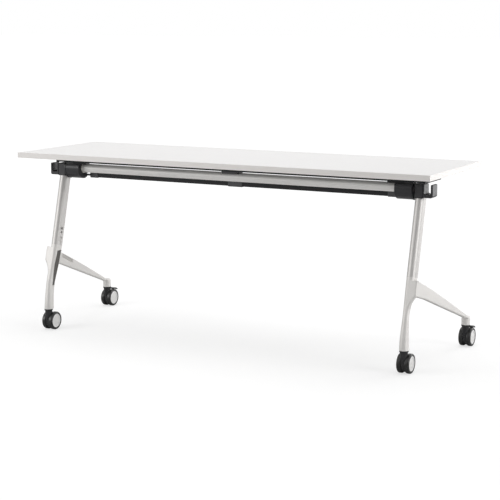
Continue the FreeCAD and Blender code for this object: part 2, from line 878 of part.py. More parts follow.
def flank_front_y(height):
    """Where the shoulder's front face lies at a height."""
    share = (flank_top_height - height) / (flank_top_height - flank_foot_height)
    return axis_y_at(height) - flank_front_top - share * (flank_front_foot - flank_front_top)


def flank():
    """Outer shoulder of the foot, swept down into the front leg and leaning inwards to the rear."""
    rearward = vec(-flank_slant, 1, 0)
    start_y = flank_front_y(flank_foot_height) - overrun

    def outline_point(across, height):
        slant_shift = flank_slant * (flank_front_y(height) - start_y)
        return vec(leg_x + across + slant_shift, start_y, height)

    inner = flank_inner - overrun
    inner_foot = outline_point(inner, flank_foot_height)
    inner_top = outline_point(inner, flank_top_height)
    outer_top = outline_point(flank_outer, flank_top_height)
    outer_turn = outline_point(flank_outer, flank_turn_height)
    sweep_middle = outline_point(flank_middle_across, flank_middle_height)
    outer_foot = outline_point(flank_foot_across, flank_foot_height)
    front_view = Part.Wire([
        Part.LineSegment(inner_foot, inner_top).toShape(),
        Part.LineSegment(inner_top, outer_top).toShape(),
        Part.LineSegment(outer_top, outer_turn).toShape(),
        Part.Arc(outer_turn, sweep_middle, outer_foot).toShape(),
        Part.LineSegment(outer_foot, inner_foot).toShape(),
    ])
    block = prism(front_view, rearward, board_depth)
    block = round_edges(block, flank_turn_round,
                        lambda edge: runs_along(edge, rearward)
                        and abs(edge.CenterOfMass.z - flank_turn_height) < running_clearance)
    start_x = leg_x + flank_inner
    top_y = flank_front_y(flank_top_height)
    foot_y = flank_front_y(flank_foot_height)
    side_corners = [
        vec(start_x, top_y, flank_top_height),
        vec(start_x, axis_y_at(flank_top_height) + flank_rear_top, flank_top_height - flank_rear_drop),
        vec(start_x, axis_y_at(flank_turn_height) + flank_rear_turn, flank_turn_height),
        vec(start_x, axis_y_at(flank_foot_height) + flank_rear_foot, flank_foot_height),
        vec(start_x, foot_y, flank_foot_height),
    ]
    side_view = prism(Part.makePolygon(side_corners + side_corners[:1]), X_DIR, 2 * flank_outer)
    block = block.common(side_view)
    return round_edges(block, flank_round,
                       lambda edge: edge.CenterOfMass.y < axis_y_at(edge.CenterOfMass.z) - flank_round
                       and not runs_along(edge, X_DIR) and not runs_along(edge, rearward))


def splay_angle():
    """How far the branch points outwards, in degrees."""
    run = rear_caster_back + branch_start
    spread = rear_caster_spread + rear_collar_radius - collar_proud - branch_outer_front
    return math.degrees(math.atan2(spread, run))


def branch_face_x():
    """The x of the branch's outer face where it starts."""
    return leg_x + branch_outer_front


def turn_to_branch(shape):
    """Turn a piece drawn square so that it follows the splayed branch."""
    shape.rotate(vec(branch_face_x(), pivot_y - branch_start, 0), Z_DIR, -splay_angle())
    return shape


def branch_profile():
    """Side outline of the rear branch: bowed top, straight underside and a round arch at the front leg."""
    front_y = pivot_y - branch_start
    x = branch_face_x()
    top_start = vec(x, front_y, branch_top_start)
    crown = vec(x, pivot_y + branch_crown_back, branch_crown_height)
    top_end = vec(x, rear_collar_y, branch_top_end)
    tail = vec(x, rear_collar_y, branch_tail_height)
    arch = vec(x, pivot_y - branch_arch_forward, branch_arch_height)
    nose = vec(x, pivot_y - branch_nose_forward, branch_nose_height)
    return Part.Wire([
        Part.Arc(top_start, crown, top_end).toShape(),
        Part.LineSegment(top_end, tail).toShape(),
        Part.LineSegment(tail, arch).toShape(),
        Part.LineSegment(arch, nose).toShape(),
        Part.LineSegment(nose, top_start).toShape(),
    ])


def branch():
    """Splayed rear branch of the foot."""
    bar = prism(branch_profile(), X_DIR, -branch_thickness)
    bar = round_edges(bar, branch_edge_round,
                      lambda edge: not runs_along(edge, X_DIR) and not runs_along(edge, Z_DIR)
                      and edge.BoundBox.YMax > pivot_y)
    return turn_to_branch(bar)


def rear_collar():
    """Round socket at the end of the branch."""
    base = vec(rear_collar_x, rear_collar_y, collar_height)
    collar = rod(rear_collar_radius, base, Z_DIR, branch_top_end + collar_rise - collar_height)
    return round_edges(collar, collar_top_round,
                       lambda edge: edge.BoundBox.ZMin > collar_height + collar_top_round)


def slot_wedge(depth, skin):
    """The tapered slot on the front leg's inner face, cut to a depth below the face, starting at a skin."""
    corners = [(slot_top_front, slot_top_height), (slot_top_rear, slot_top_height),
               (slot_middle_rear, slot_middle_height), (slot_bottom_rear, slot_bottom_height),
               (slot_bottom_front, slot_bottom_height), (slot_middle_front, slot_middle_height)]
    slope = math.tan(math.radians(slot_turn_deg))
    points = []
    for forward, height in corners:
        share = (height - slot_bottom_height) / (slot_top_height - slot_bottom_height)
        across = slot_bottom_across + share * (slot_top_across - slot_bottom_across)
        centre = slot_bottom_centre + share * (slot_top_centre - slot_bottom_centre)
        x = leg_x - across + slope * (forward - centre) + skin
        points.append(vec(x, pivot_y - forward, height))
    return prism(Part.makePolygon(points + points[:1]), X_DIR, depth)


def pocket_block(inset, skin, depth):
    """A block along the top of the branch's inner face, drawn smaller by an inset and starting at a skin."""
    x = branch_face_x() - branch_thickness + skin
    low_y = pivot_y - pocket_front + inset
    high_y = pivot_y + pocket_rear - inset
    slope = (branch_top_start - branch_crown_height) / (branch_start + branch_crown_back)
    drop = pocket_top_drop + inset
    start_top = branch_top_start - (branch_start - pocket_front) * slope - drop
    end_top = branch_top_start - (branch_start + pocket_rear) * slope - drop
    height = pocket_height - 2 * inset
    points = [vec(x, low_y, start_top), vec(x, high_y, end_top),
              vec(x, high_y, end_top - height), vec(x, low_y, start_top - height)]
    return turn_to_branch(prism(Part.makePolygon(points + points[:1]), X_DIR, depth))


def branch_pocket():
    """The recess that the pocket plate sits in."""
    return pocket_block(0, -overrun, overrun + pocket_depth)


def pocket_plates():
    """Plain plate that covers the cast hollow in each branch, with a shadow gap around it."""
    plate = pocket_block(pocket_plate_gap, pocket_depth - pocket_plate_thickness, pocket_plate_thickness)
    return group([on_side(plate, side) for _, side in SIDES])


def collar_places():
    """Stem axes of the right-hand foot: front and rear."""
    return ((leg_x, front_collar_y), (rear_collar_x, rear_collar_y))


def foot():
    """One-piece cast foot: front leg, shoulder, splayed rear branch and both caster sockets."""
    spigot = spigot_solid(joint_along - overrun, joint_along + foot_spigot_length)
    body = union(shin(), flank(), branch(), rear_collar(), spigot)
    cutters = [rod(stem_radius + seat_clearance, vec(x, y, collar_height - overrun), Z_DIR,
                   stem_hole_depth + overrun)
               for x, y in collar_places()]
    cutters.append(slot_wedge(slot_depth + overrun, -overrun))
    cutters.append(branch_pocket())
    cutters += [rear_screw_hole(0, along, column_depth / 2) for along in leg_screw_alongs()[2:]]
    return body.cut(cutters)


def slot_covers():
    """Dark insert set back in each foot's tapered slot."""
    insert = slot_wedge(slot_cover_depth, slot_depth - slot_cover_depth)
    return group([on_side(insert, side) for _, side in SIDES])


# Casters

stem_above = 30.0
stem_below = 16.0
caster_cap_radius = 17.5
caster_cap_height = 5.5
neck_radius = 15.0
neck_bottom = 42.0
web_thickness = 12.0
web_radius = 33.0
wheel_envelope_gap = 1.2
axle_radius = 4.0
axle_half_length = 19.5
tyre_shoulder = 5.0
rim_radius = 29.0
rim_bead = 1.5
rim_face_set_back = 1.0
hub_dish_radius = 22.0
hub_dish_depth = 1.5
axle_end_gap = 0.5

pedal_travel_deg = 7.0
pedal_pin_y = 11.5
pedal_pin_height = 80.0
pedal_pin_radius = 1.75
pedal_trunnion = 2.0
pedal_hub_radius = 3.4
pedal_hub_low = 2.5
pedal_hub_high = 9.5
pedal_thickness = 5.5
pedal_round = 2.0
pedal_inner = 7.5
pedal_outer = 24.0
pedal_start_deg = 93.0
pedal_tip_deg = 48.0
pedal_slot_gap = 0.5
pedal_slot_drop = 2.0
brake_gap = 0.5

CASTERS = (
    ("front_left", -leg_x, front_collar_y, False),
    ("front_right", leg_x, front_collar_y, False),
    ("rear_left", -rear_collar_x, rear_collar_y, True),
    ("rear_right", rear_collar_x, rear_collar_y, True),
)


def caster_stems():
    """Steel stems fixed in the four sockets, on which the casters swivel."""
    stems = []
    for _, x, y, _ in CASTERS:
        base = vec(x, y, collar_height - stem_below)
        stems.append(rod(stem_radius, base, Z_DIR, stem_below + stem_above))
    return group(stems)


def pedal_pin():
    """Point on the brake pedal's axis, in the caster's own frame."""
    return vec(0, pedal_pin_y, pedal_pin_height)


def caster_housing(with_brake):
    """Swivelling housing: cap, neck and the web between the wheels, in the caster's own frame."""
    cap_top = collar_height - swivel_gap
    cap = rod(caster_cap_radius, vec(0, 0, cap_top - caster_cap_height), Z_DIR, caster_cap_height)
    neck = rod(neck_radius, vec(0, 0, neck_bottom), Z_DIR, cap_top - neck_bottom)
    half_web = web_thickness / 2
    web = x_rod(web_radius, -half_web, half_web, caster_trail, wheel_radius)
    body = union(cap, neck, web)
    envelope_radius = wheel_radius + wheel_envelope_gap
    cutters = []
    for sign in (-1, 1):
        inner = sign * half_web
        outer = sign * (half_web + neck_radius + wheel_width)
        cutters.append(x_rod(envelope_radius, min(inner, outer), max(inner, outer), caster_trail,
                             wheel_radius))
    stem_foot = vec(0, 0, collar_height - stem_below - overrun / 2)
    cutters.append(rod(stem_radius + running_clearance, stem_foot, Z_DIR, stem_below + overrun))
    cutters.append(x_rod(axle_radius + seat_clearance, -web_thickness, web_thickness, caster_trail,
                         wheel_radius))
    if with_brake:
        pin = pedal_pin()
        slot_radius = pedal_hub_radius + pedal_slot_gap
        cutters.append(x_rod(slot_radius, pedal_hub_low - pedal_slot_gap, pedal_hub_high + pedal_slot_gap,
                             pin.y, pin.z))
        cutters.append(box(pedal_hub_low - pedal_slot_gap, pedal_hub_high + pedal_slot_gap, pin.y,
                           pin.y + neck_radius, pin.z - slot_radius - pedal_slot_drop, pin.z + slot_radius))
        cutters.append(x_rod(pedal_pin_radius + running_clearance,
                             pedal_hub_low - pedal_trunnion - pedal_slot_gap,
                             pedal_hub_high + pedal_trunnion + pedal_slot_gap, pin.y, pin.z))
    return body.cut(cutters)


def caster_axle():
    """Steel axle through the web, in the caster's own frame."""
    return x_rod(axle_radius, -axle_half_length, axle_half_length, caster_trail, wheel_radius)


def tyre(side):
    """Black tread ring with round shoulders, on one side of the web."""
    inner = wheel_gap / 2
    outer = inner + wheel_width
    ring = x_rod(wheel_radius, inner, outer, caster_trail, wheel_radius)
    ring = round_edges(ring, tyre_shoulder, lambda edge: not runs_along(edge, X_DIR))
    ring = ring.cut(x_rod(rim_radius, inner - overrun, outer + overrun, caster_trail, wheel_radius))
    return on_side(ring, side)


def wheel_core(side):
    """Pale wheel centre with a dished outer face and a blind bore for the axle."""
    inner = wheel_gap / 2 + rim_bead
    outer = wheel_gap / 2 + wheel_width - rim_face_set_back
    disc = x_rod(rim_radius - seat_clearance, inner, outer, caster_trail, wheel_radius)
    disc = round_edges(disc, rim_bead, lambda edge: edge.BoundBox.XMin > outer - running_clearance)
    dish = x_rod(hub_dish_radius, outer - hub_dish_depth, outer + overrun, caster_trail, wheel_radius)
    bore = x_rod(axle_radius + running_clearance, inner - overrun, axle_half_length + axle_end_gap,
                 caster_trail, wheel_radius)
    return on_side(disc.cut([dish, bore]), side)


def polar_point(radius, angle_deg, across):
    """A point around the wheel axis, by radius and by angle up from the rear."""
    angle = math.radians(angle_deg)
    return vec(across, caster_trail + radius * math.cos(angle), wheel_radius + radius * math.sin(angle))


def wheel_distance(point):
    """How far a point of the caster's own frame lies from the wheel axis."""
    return math.hypot(point.y - caster_trail, point.z - wheel_radius)


def brake_pedal():
    """Pedal over the outer wheel, drawn on the tread and then lifted by its travel."""
    low = wheel_radius + brake_gap
    high = low + pedal_thickness
    middle = (pedal_start_deg + pedal_tip_deg) / 2
    start = pedal_start_deg
    tip = pedal_tip_deg
    outline = Part.Wire([
        Part.Arc(polar_point(low, start, pedal_inner), polar_point(low, middle, pedal_inner),
                 polar_point(low, tip, pedal_inner)).toShape(),
        Part.LineSegment(polar_point(low, tip, pedal_inner), polar_point(high, tip, pedal_inner)).toShape(),
        Part.Arc(polar_point(high, tip, pedal_inner), polar_point(high, middle, pedal_inner),
                 polar_point(high, start, pedal_inner)).toShape(),
        Part.LineSegment(polar_point(high, start, pedal_inner),
                         polar_point(low, start, pedal_inner)).toShape(),
    ])
    pad = prism(outline, X_DIR, pedal_outer - pedal_inner)
    pad = round_edges(pad, pedal_round,
                      lambda edge: all(wheel_distance(corner.Point) > high - running_clearance
                                       for corner in edge.Vertexes))
    pin = pedal_pin()
    hub = x_rod(pedal_hub_radius, pedal_hub_low, pedal_hub_high, pin.y, pin.z)
    trunnions = x_rod(pedal_pin_radius, pedal_hub_low - pedal_trunnion, pedal_hub_high + pedal_trunnion,
                      pin.y, pin.z)
    joint = polar_point((low + high) / 2, start, pedal_hub_low)
    arm = box(pedal_hub_low, pedal_hub_high, pin.y, joint.y + pedal_thickness,
              high + wheel_radius - pedal_thickness,
              pin.z + pedal_hub_radius / 2)
    pedal = union(pad, hub, trunnions, arm)
    pedal.rotate(pin, X_DIR, pedal_travel_deg)
    return pedal


def caster_nodes():
    """Every caster's own nodes, moved to its socket."""
    nodes = {}
    for name, x, y, with_brake in CASTERS:
        pieces = {
            "caster_housing_" + name: caster_housing(with_brake),
            "caster_axle_" + name: caster_axle(),
            "tyre_" + name + "_l": tyre(-1),
            "tyre_" + name + "_r": tyre(1),
            "wheel_core_" + name + "_l": wheel_core(-1),
            "wheel_core_" + name + "_r": wheel_core(1),
        }
        if with_brake:
            pieces["brake_pedal_" + name] = brake_pedal()
        for node, shape in pieces.items():
            shape.translate(vec(x, y, 0))
            nodes[node] = shape
    return nodes


def all_nodes():
    """Every node of the desk by name."""
    nodes = {}
    nodes.update(board_pieces())
    nodes["front_rail"] = front_rail()
    nodes.update(board_screws())
    nodes["cross_beam"] = cross_beam()
    nodes["pivot_bushes"] = pivot_bushes()
    nodes["lock_discs"] = lock_discs()
    nodes["beam_saddle"] = beam_saddle()
    nodes["release_bar"] = release_bar()
    nodes["bar_sleeves"] = bar_sleeves()
    nodes["latch_pins"] = latch_pins()
    nodes["latch_springs"] = latch_springs()
    nodes["hook_screws"] = hook_screws()
    nodes["leg_screws"] = leg_screws()
    nodes["slot_covers"] = slot_covers()
    nodes["pocket_plates"] = pocket_plates()
    nodes["caster_stems"] = caster_stems()
    makers = (("top_bracket", top_bracket), ("hinge_drum", hinge_drum), ("latch", latch),
              ("leg_head", leg_head), ("bag_hook", bag_hook), ("column", column), ("foot", foot))
    for name, maker in makers:
        shape = maker()
        for label, side in SIDES:
            nodes[name + "_" + label] = on_side(shape, side)
    nodes.update(caster_nodes())
    return nodes


def write_all():
    """Move every node to the desk's own origin and write it."""
    for name, shape in all_nodes().items():
        placed = shape.copy()
        placed.translate(vec(0, -desk_middle_y, 0))
        placed.exportStep("parts/" + name + ".step")
        bounds = placed.BoundBox
        corners = (bounds.XMin, bounds.XMax, bounds.YMin, bounds.YMax, bounds.ZMin, bounds.ZMax)
        print(name, len(placed.Solids), placed.isValid(), round(placed.Volume),
              [round(value, 1) for value in corners])


write_all()
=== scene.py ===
"""Finishes, small parts and studio for the flip-top classroom desk.

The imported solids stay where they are. Each sub-assembly below gives its solids a finish, and adds the
small pieces that the solids leave plain, such as the wheels' hub discs and the screws' threads and
recesses. Lengths are metres.
"""

import logging
import math
from collections.abc import Callable
from dataclasses import dataclass
from enum import Enum

import bmesh
import bpy
from mathutils import Matrix, Vector


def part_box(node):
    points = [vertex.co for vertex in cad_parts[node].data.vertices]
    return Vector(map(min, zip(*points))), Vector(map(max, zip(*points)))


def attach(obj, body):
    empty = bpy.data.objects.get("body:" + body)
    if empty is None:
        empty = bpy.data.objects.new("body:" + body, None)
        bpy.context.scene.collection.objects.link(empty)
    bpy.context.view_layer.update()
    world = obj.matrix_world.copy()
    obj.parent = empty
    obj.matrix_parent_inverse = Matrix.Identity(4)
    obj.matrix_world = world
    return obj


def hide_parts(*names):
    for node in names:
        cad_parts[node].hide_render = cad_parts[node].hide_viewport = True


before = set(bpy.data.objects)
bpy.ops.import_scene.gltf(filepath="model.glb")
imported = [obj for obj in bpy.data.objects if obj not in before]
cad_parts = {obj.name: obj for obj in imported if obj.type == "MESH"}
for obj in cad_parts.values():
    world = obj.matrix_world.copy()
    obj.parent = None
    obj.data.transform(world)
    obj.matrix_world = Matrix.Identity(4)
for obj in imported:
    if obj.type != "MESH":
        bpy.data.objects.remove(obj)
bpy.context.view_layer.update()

LOG = logging.getLogger("desk")
SIDES = (("left", -1), ("right", 1))
CASTERS = ("front_left", "front_right", "rear_left", "rear_right")
WELD_DISTANCE = 1e-6
Triple = tuple[float, float, float]
Colour = Triple


class Sheet:
    """A node tree with short calls to add nodes and join them."""

    def __init__(self, tree: bpy.types.NodeTree) -> None:
        """Open a node tree.

        Args:
            tree: the node tree to work on.
        """
        self.tree = tree

    def add(self, kind: str, values: dict | None = None, **settings: object) -> bpy.types.Node:
        """Add a node.

        Args:
            kind: the node's type name.
            values: input sockets by name or index, and either a value or an output socket to join to it.
            settings: properties of the node itself.

        Returns:
            The new node.
        """
        node = self.tree.nodes.new(kind)
        for name, value in settings.items():
            setattr(node, name, value)
        for key, value in (values or {}).items():
            if isinstance(value, bpy.types.NodeSocket):
                self.tree.links.new(value, node.inputs[key])
            else:
                node.inputs[key].default_value = value
        return node

    def maths(self, operation: str, *terms: object, clamp: bool = False) -> bpy.types.NodeSocket:
        """Combine numbers or sockets with a Math node.

        Args:
            operation: the Math node's operation.
            terms: numbers or output sockets, in order.
            clamp: keep the result between 0 and 1.

        Returns:
            The result's socket.
        """
        node = self.add("ShaderNodeMath", dict(enumerate(terms)), operation=operation, use_clamp=clamp)
        return node.outputs[0]

    def blend(self, share: object, first: object, second: object) -> bpy.types.NodeSocket:
        """Mix two colours.

        Args:
            share: how much of the second, from 0 to 1.
            first: a colour or socket.
            second: a colour or socket.

        Returns:
            The mixed colour's socket.
        """
        node = self.add("ShaderNodeMix", data_type="RGBA")
        for key, value in ((0, share), (6, first), (7, second)):
            if isinstance(value, bpy.types.NodeSocket):
                self.tree.links.new(value, node.inputs[key])
            else:
                node.inputs[key].default_value = value if key == 0 else (*value, 1.0)
        return node.outputs[2]


class Effect:
    """Shared surface effects, each a node group that is built once and placed in many materials."""

    @staticmethod
    def group(name: str, inputs: dict[str, tuple[str, object]], outputs: dict[str, str],
              fill: Callable[[Sheet, bpy.types.Node, bpy.types.Node], None]) -> bpy.types.NodeTree:
        """Fetch a node group, or make it the first time.

        Args:
            name: the group's name.
            inputs: socket type and default value by name.
            outputs: socket type by name.
            fill: draws the inside between the group's input and output nodes.

        Returns:
            The node group.
        """
        made = bpy.data.node_groups.get(name)
        if made:
            return made
        tree = bpy.data.node_groups.new(name, "ShaderNodeTree")
        for label, (kind, value) in inputs.items():
            socket = tree.interface.new_socket(label, in_out="INPUT", socket_type=kind)
            socket.default_value = value
        for label, kind in outputs.items():
            tree.interface.new_socket(label, in_out="OUTPUT", socket_type=kind)
        sheet = Sheet(tree)
        fill(sheet, sheet.add("NodeGroupInput"), sheet.add("NodeGroupOutput"))
        return tree

    @classmethod
    def grain(cls) -> bpy.types.NodeTree:
        """Fine relief of a painted, moulded or brushed surface; Stretch draws it out along an axis."""
        def fill(sheet: Sheet, start: bpy.types.Node, end: bpy.types.Node) -> None:
            place = sheet.add("ShaderNodeTexCoord").outputs["Object"]
            drawn = sheet.add("ShaderNodeVectorMath", {0: place, 1: start.outputs["Stretch"]},
                              operation="MULTIPLY")
            noise = sheet.add("ShaderNodeTexNoise", {
                "Vector": drawn.outputs[0], "Scale": start.outputs["Scale"], "Detail": 3.0,
                "Roughness": 0.62})
            sheet.tree.links.new(noise.outputs["Fac"], end.inputs["Value"])
            sheet.tree.links.new(sheet.maths("SUBTRACT", noise.outputs["Fac"], 0.5), end.inputs["Height"])
        return cls.group("surface_grain", {"Scale": ("NodeSocketFloat", 900.0),
                                           "Stretch": ("NodeSocketVector", (1.0, 1.0, 1.0))},
                         {"Value": "NodeSocketFloat", "Height": "NodeSocketFloat"}, fill)

    @classmethod
    def drift(cls) -> bpy.types.NodeTree:
        """Slow change between two tones over a hand's width, with a finer mottle on top."""
        def fill(sheet: Sheet, start: bpy.types.Node, end: bpy.types.Node) -> None:
            place = sheet.add("ShaderNodeTexCoord").outputs["Object"]
            broad = sheet.add("ShaderNodeTexNoise", {
                "Vector": place, "Scale": start.outputs["Scale"], "Detail": 2.0, "Roughness": 0.5})
            fine_scale = sheet.maths("MULTIPLY", start.outputs["Scale"], 23.0)
            fine = sheet.add("ShaderNodeTexNoise", {
                "Vector": place, "Scale": fine_scale, "Detail": 2.0, "Roughness": 0.5})
            fine_part = sheet.maths("MULTIPLY", fine.outputs["Fac"], start.outputs["Mottle"])
            broad_part = sheet.maths("MULTIPLY", broad.outputs["Fac"],
                                     sheet.maths("SUBTRACT", 1.0, start.outputs["Mottle"]))
            share = sheet.maths("ADD", fine_part, broad_part)
            spread = sheet.add("ShaderNodeMapRange", {"Value": share, "From Min": 0.34, "From Max": 0.66})
            colour = sheet.blend(spread.outputs[0], start.outputs["Tone A"], start.outputs["Tone B"])
            sheet.tree.links.new(colour, end.inputs["Colour"])
        return cls.group("tone_drift", {"Tone A": ("NodeSocketColor", (0.8, 0.8, 0.8, 1.0)),
                                        "Tone B": ("NodeSocketColor", (0.8, 0.8, 0.8, 1.0)),
                                        "Scale": ("NodeSocketFloat", 6.0),
                                        "Mottle": ("NodeSocketFloat", 0.35)},
                         {"Colour": "NodeSocketColor"}, fill)

    @classmethod
    def edge(cls) -> bpy.types.NodeTree:
        """Softened edges: a rounded normal, and a broken mask where an edge is rubbed."""
        def fill(sheet: Sheet, start: bpy.types.Node, end: bpy.types.Node) -> None:
            rounded = sheet.add("ShaderNodeBevel", {"Radius": start.outputs["Radius"]}, samples=4)
            flat = sheet.add("ShaderNodeNewGeometry")
            agree = sheet.add("ShaderNodeVectorMath", {0: rounded.outputs[0], 1: flat.outputs["Normal"]},
                              operation="DOT_PRODUCT")
            apart = sheet.maths("SUBTRACT", 1.0, agree.outputs["Value"])
            turned = sheet.maths("MULTIPLY", apart, 9.0, clamp=True)
            place = sheet.add("ShaderNodeTexCoord").outputs["Object"]
            noise = sheet.add("ShaderNodeTexNoise", {
                "Vector": place, "Scale": start.outputs["Break"], "Detail": 4.0, "Roughness": 0.7})
            broken = sheet.add("ShaderNodeMapRange", {
                "Value": noise.outputs["Fac"], "From Min": 0.48, "From Max": 0.62})
            mask = sheet.maths("MULTIPLY", turned, broken.outputs[0], clamp=True)
            sheet.tree.links.new(mask, end.inputs["Mask"])
            sheet.tree.links.new(rounded.outputs[0], end.inputs["Normal"])
        return cls.group("edge_rub",
                         {"Radius": ("NodeSocketFloat", 0.0006), "Break": ("NodeSocketFloat", 90.0)},
                         {"Mask": "NodeSocketFloat", "Normal": "NodeSocketVector"}, fill)

    @classmethod
    def dust(cls) -> bpy.types.NodeTree:
        """Thin dust that lies on faces that look up."""
        def fill(sheet: Sheet, start: bpy.types.Node, end: bpy.types.Node) -> None:
            normal = sheet.add("ShaderNodeNewGeometry").outputs["Normal"]
            upward = sheet.add("ShaderNodeSeparateXYZ", {0: normal}).outputs["Z"]
            faced = sheet.add("ShaderNodeMapRange", {"Value": upward, "From Min": 0.15, "From Max": 1.0})
            place = sheet.add("ShaderNodeTexCoord").outputs["Object"]
            cloud = sheet.add("ShaderNodeTexNoise", {
                "Vector": place, "Scale": 38.0, "Detail": 6.0, "Roughness": 0.72})
            thick = sheet.add("ShaderNodeMapRange", {
                "Value": cloud.outputs["Fac"], "From Min": 0.38, "From Max": 0.72})
            lying = sheet.maths("MULTIPLY", faced.outputs[0], thick.outputs[0])
            mask = sheet.maths("MULTIPLY", lying, start.outputs["Amount"], clamp=True)
            sheet.tree.links.new(mask, end.inputs["Mask"])
        return cls.group("settled_dust", {"Amount": ("NodeSocketFloat", 0.2)},
                         {"Mask": "NodeSocketFloat"}, fill)

    @classmethod
    def chips(cls) -> bpy.types.NodeTree:
        """Pressed wood chips: pale and dark flakes with small gaps between them."""
        def fill(sheet: Sheet, start: bpy.types.Node, end: bpy.types.Node) -> None:
            place = sheet.add("ShaderNodeTexCoord").outputs["Object"]
            flat = sheet.add("ShaderNodeVectorMath", {0: place, 1: (1.0, 1.0, 3.0)}, operation="MULTIPLY")
            spread = {"Vector": flat.outputs[0], "Scale": start.outputs["Scale"]}
            cells = sheet.add("ShaderNodeTexVoronoi", spread)
            gaps = sheet.add("ShaderNodeTexVoronoi", spread, feature="DISTANCE_TO_EDGE")
            tone = sheet.add("ShaderNodeSeparateXYZ", {0: cells.outputs["Color"]}).outputs["X"]
            gap = sheet.add("ShaderNodeMapRange", {
                "Value": gaps.outputs["Distance"], "From Min": 0.0, "From Max": 0.12})
            sheet.tree.links.new(tone, end.inputs["Tone"])
            sheet.tree.links.new(gap.outputs[0], end.inputs["Height"])
        return cls.group("wood_chips", {"Scale": ("NodeSocketFloat", 420.0)},
                         {"Tone": "NodeSocketFloat", "Height": "NodeSocketFloat"}, fill)

    @classmethod
    def scratches(cls) -> bpy.types.NodeTree:
        """Short hairline marks in two directions."""
        def fill(sheet: Sheet, start: bpy.types.Node, end: bpy.types.Node) -> None:
            place = sheet.add("ShaderNodeTexCoord").outputs["Object"]
            marks = []
            for stretch in ((1.0, 34.0, 11.0), (29.0, 1.3, 9.0)):
                drawn = sheet.add("ShaderNodeVectorMath", {0: place, 1: stretch}, operation="MULTIPLY")
                noise = sheet.add("ShaderNodeTexNoise", {
                    "Vector": drawn.outputs[0], "Scale": start.outputs["Scale"], "Detail": 2.0,
                    "Roughness": 0.5, "Distortion": 0.4})
                thin = sheet.add("ShaderNodeMapRange", {
                    "Value": noise.outputs["Fac"], "From Min": 0.67, "From Max": 0.71})
                marks.append(thin.outputs[0])
            both = sheet.maths("MAXIMUM", marks[0], marks[1])
            sheet.tree.links.new(sheet.maths("MULTIPLY", both, start.outputs["Amount"], clamp=True),
                                 end.inputs["Mask"])
        return cls.group("hairline_marks",
                         {"Scale": ("NodeSocketFloat", 20.0), "Amount": ("NodeSocketFloat", 0.3)},
                         {"Mask": "NodeSocketFloat"}, fill)


class Relief(Enum):
    """What the fine relief of a finish is."""

    GRAIN = "grain"
    CHIPS = "chips"


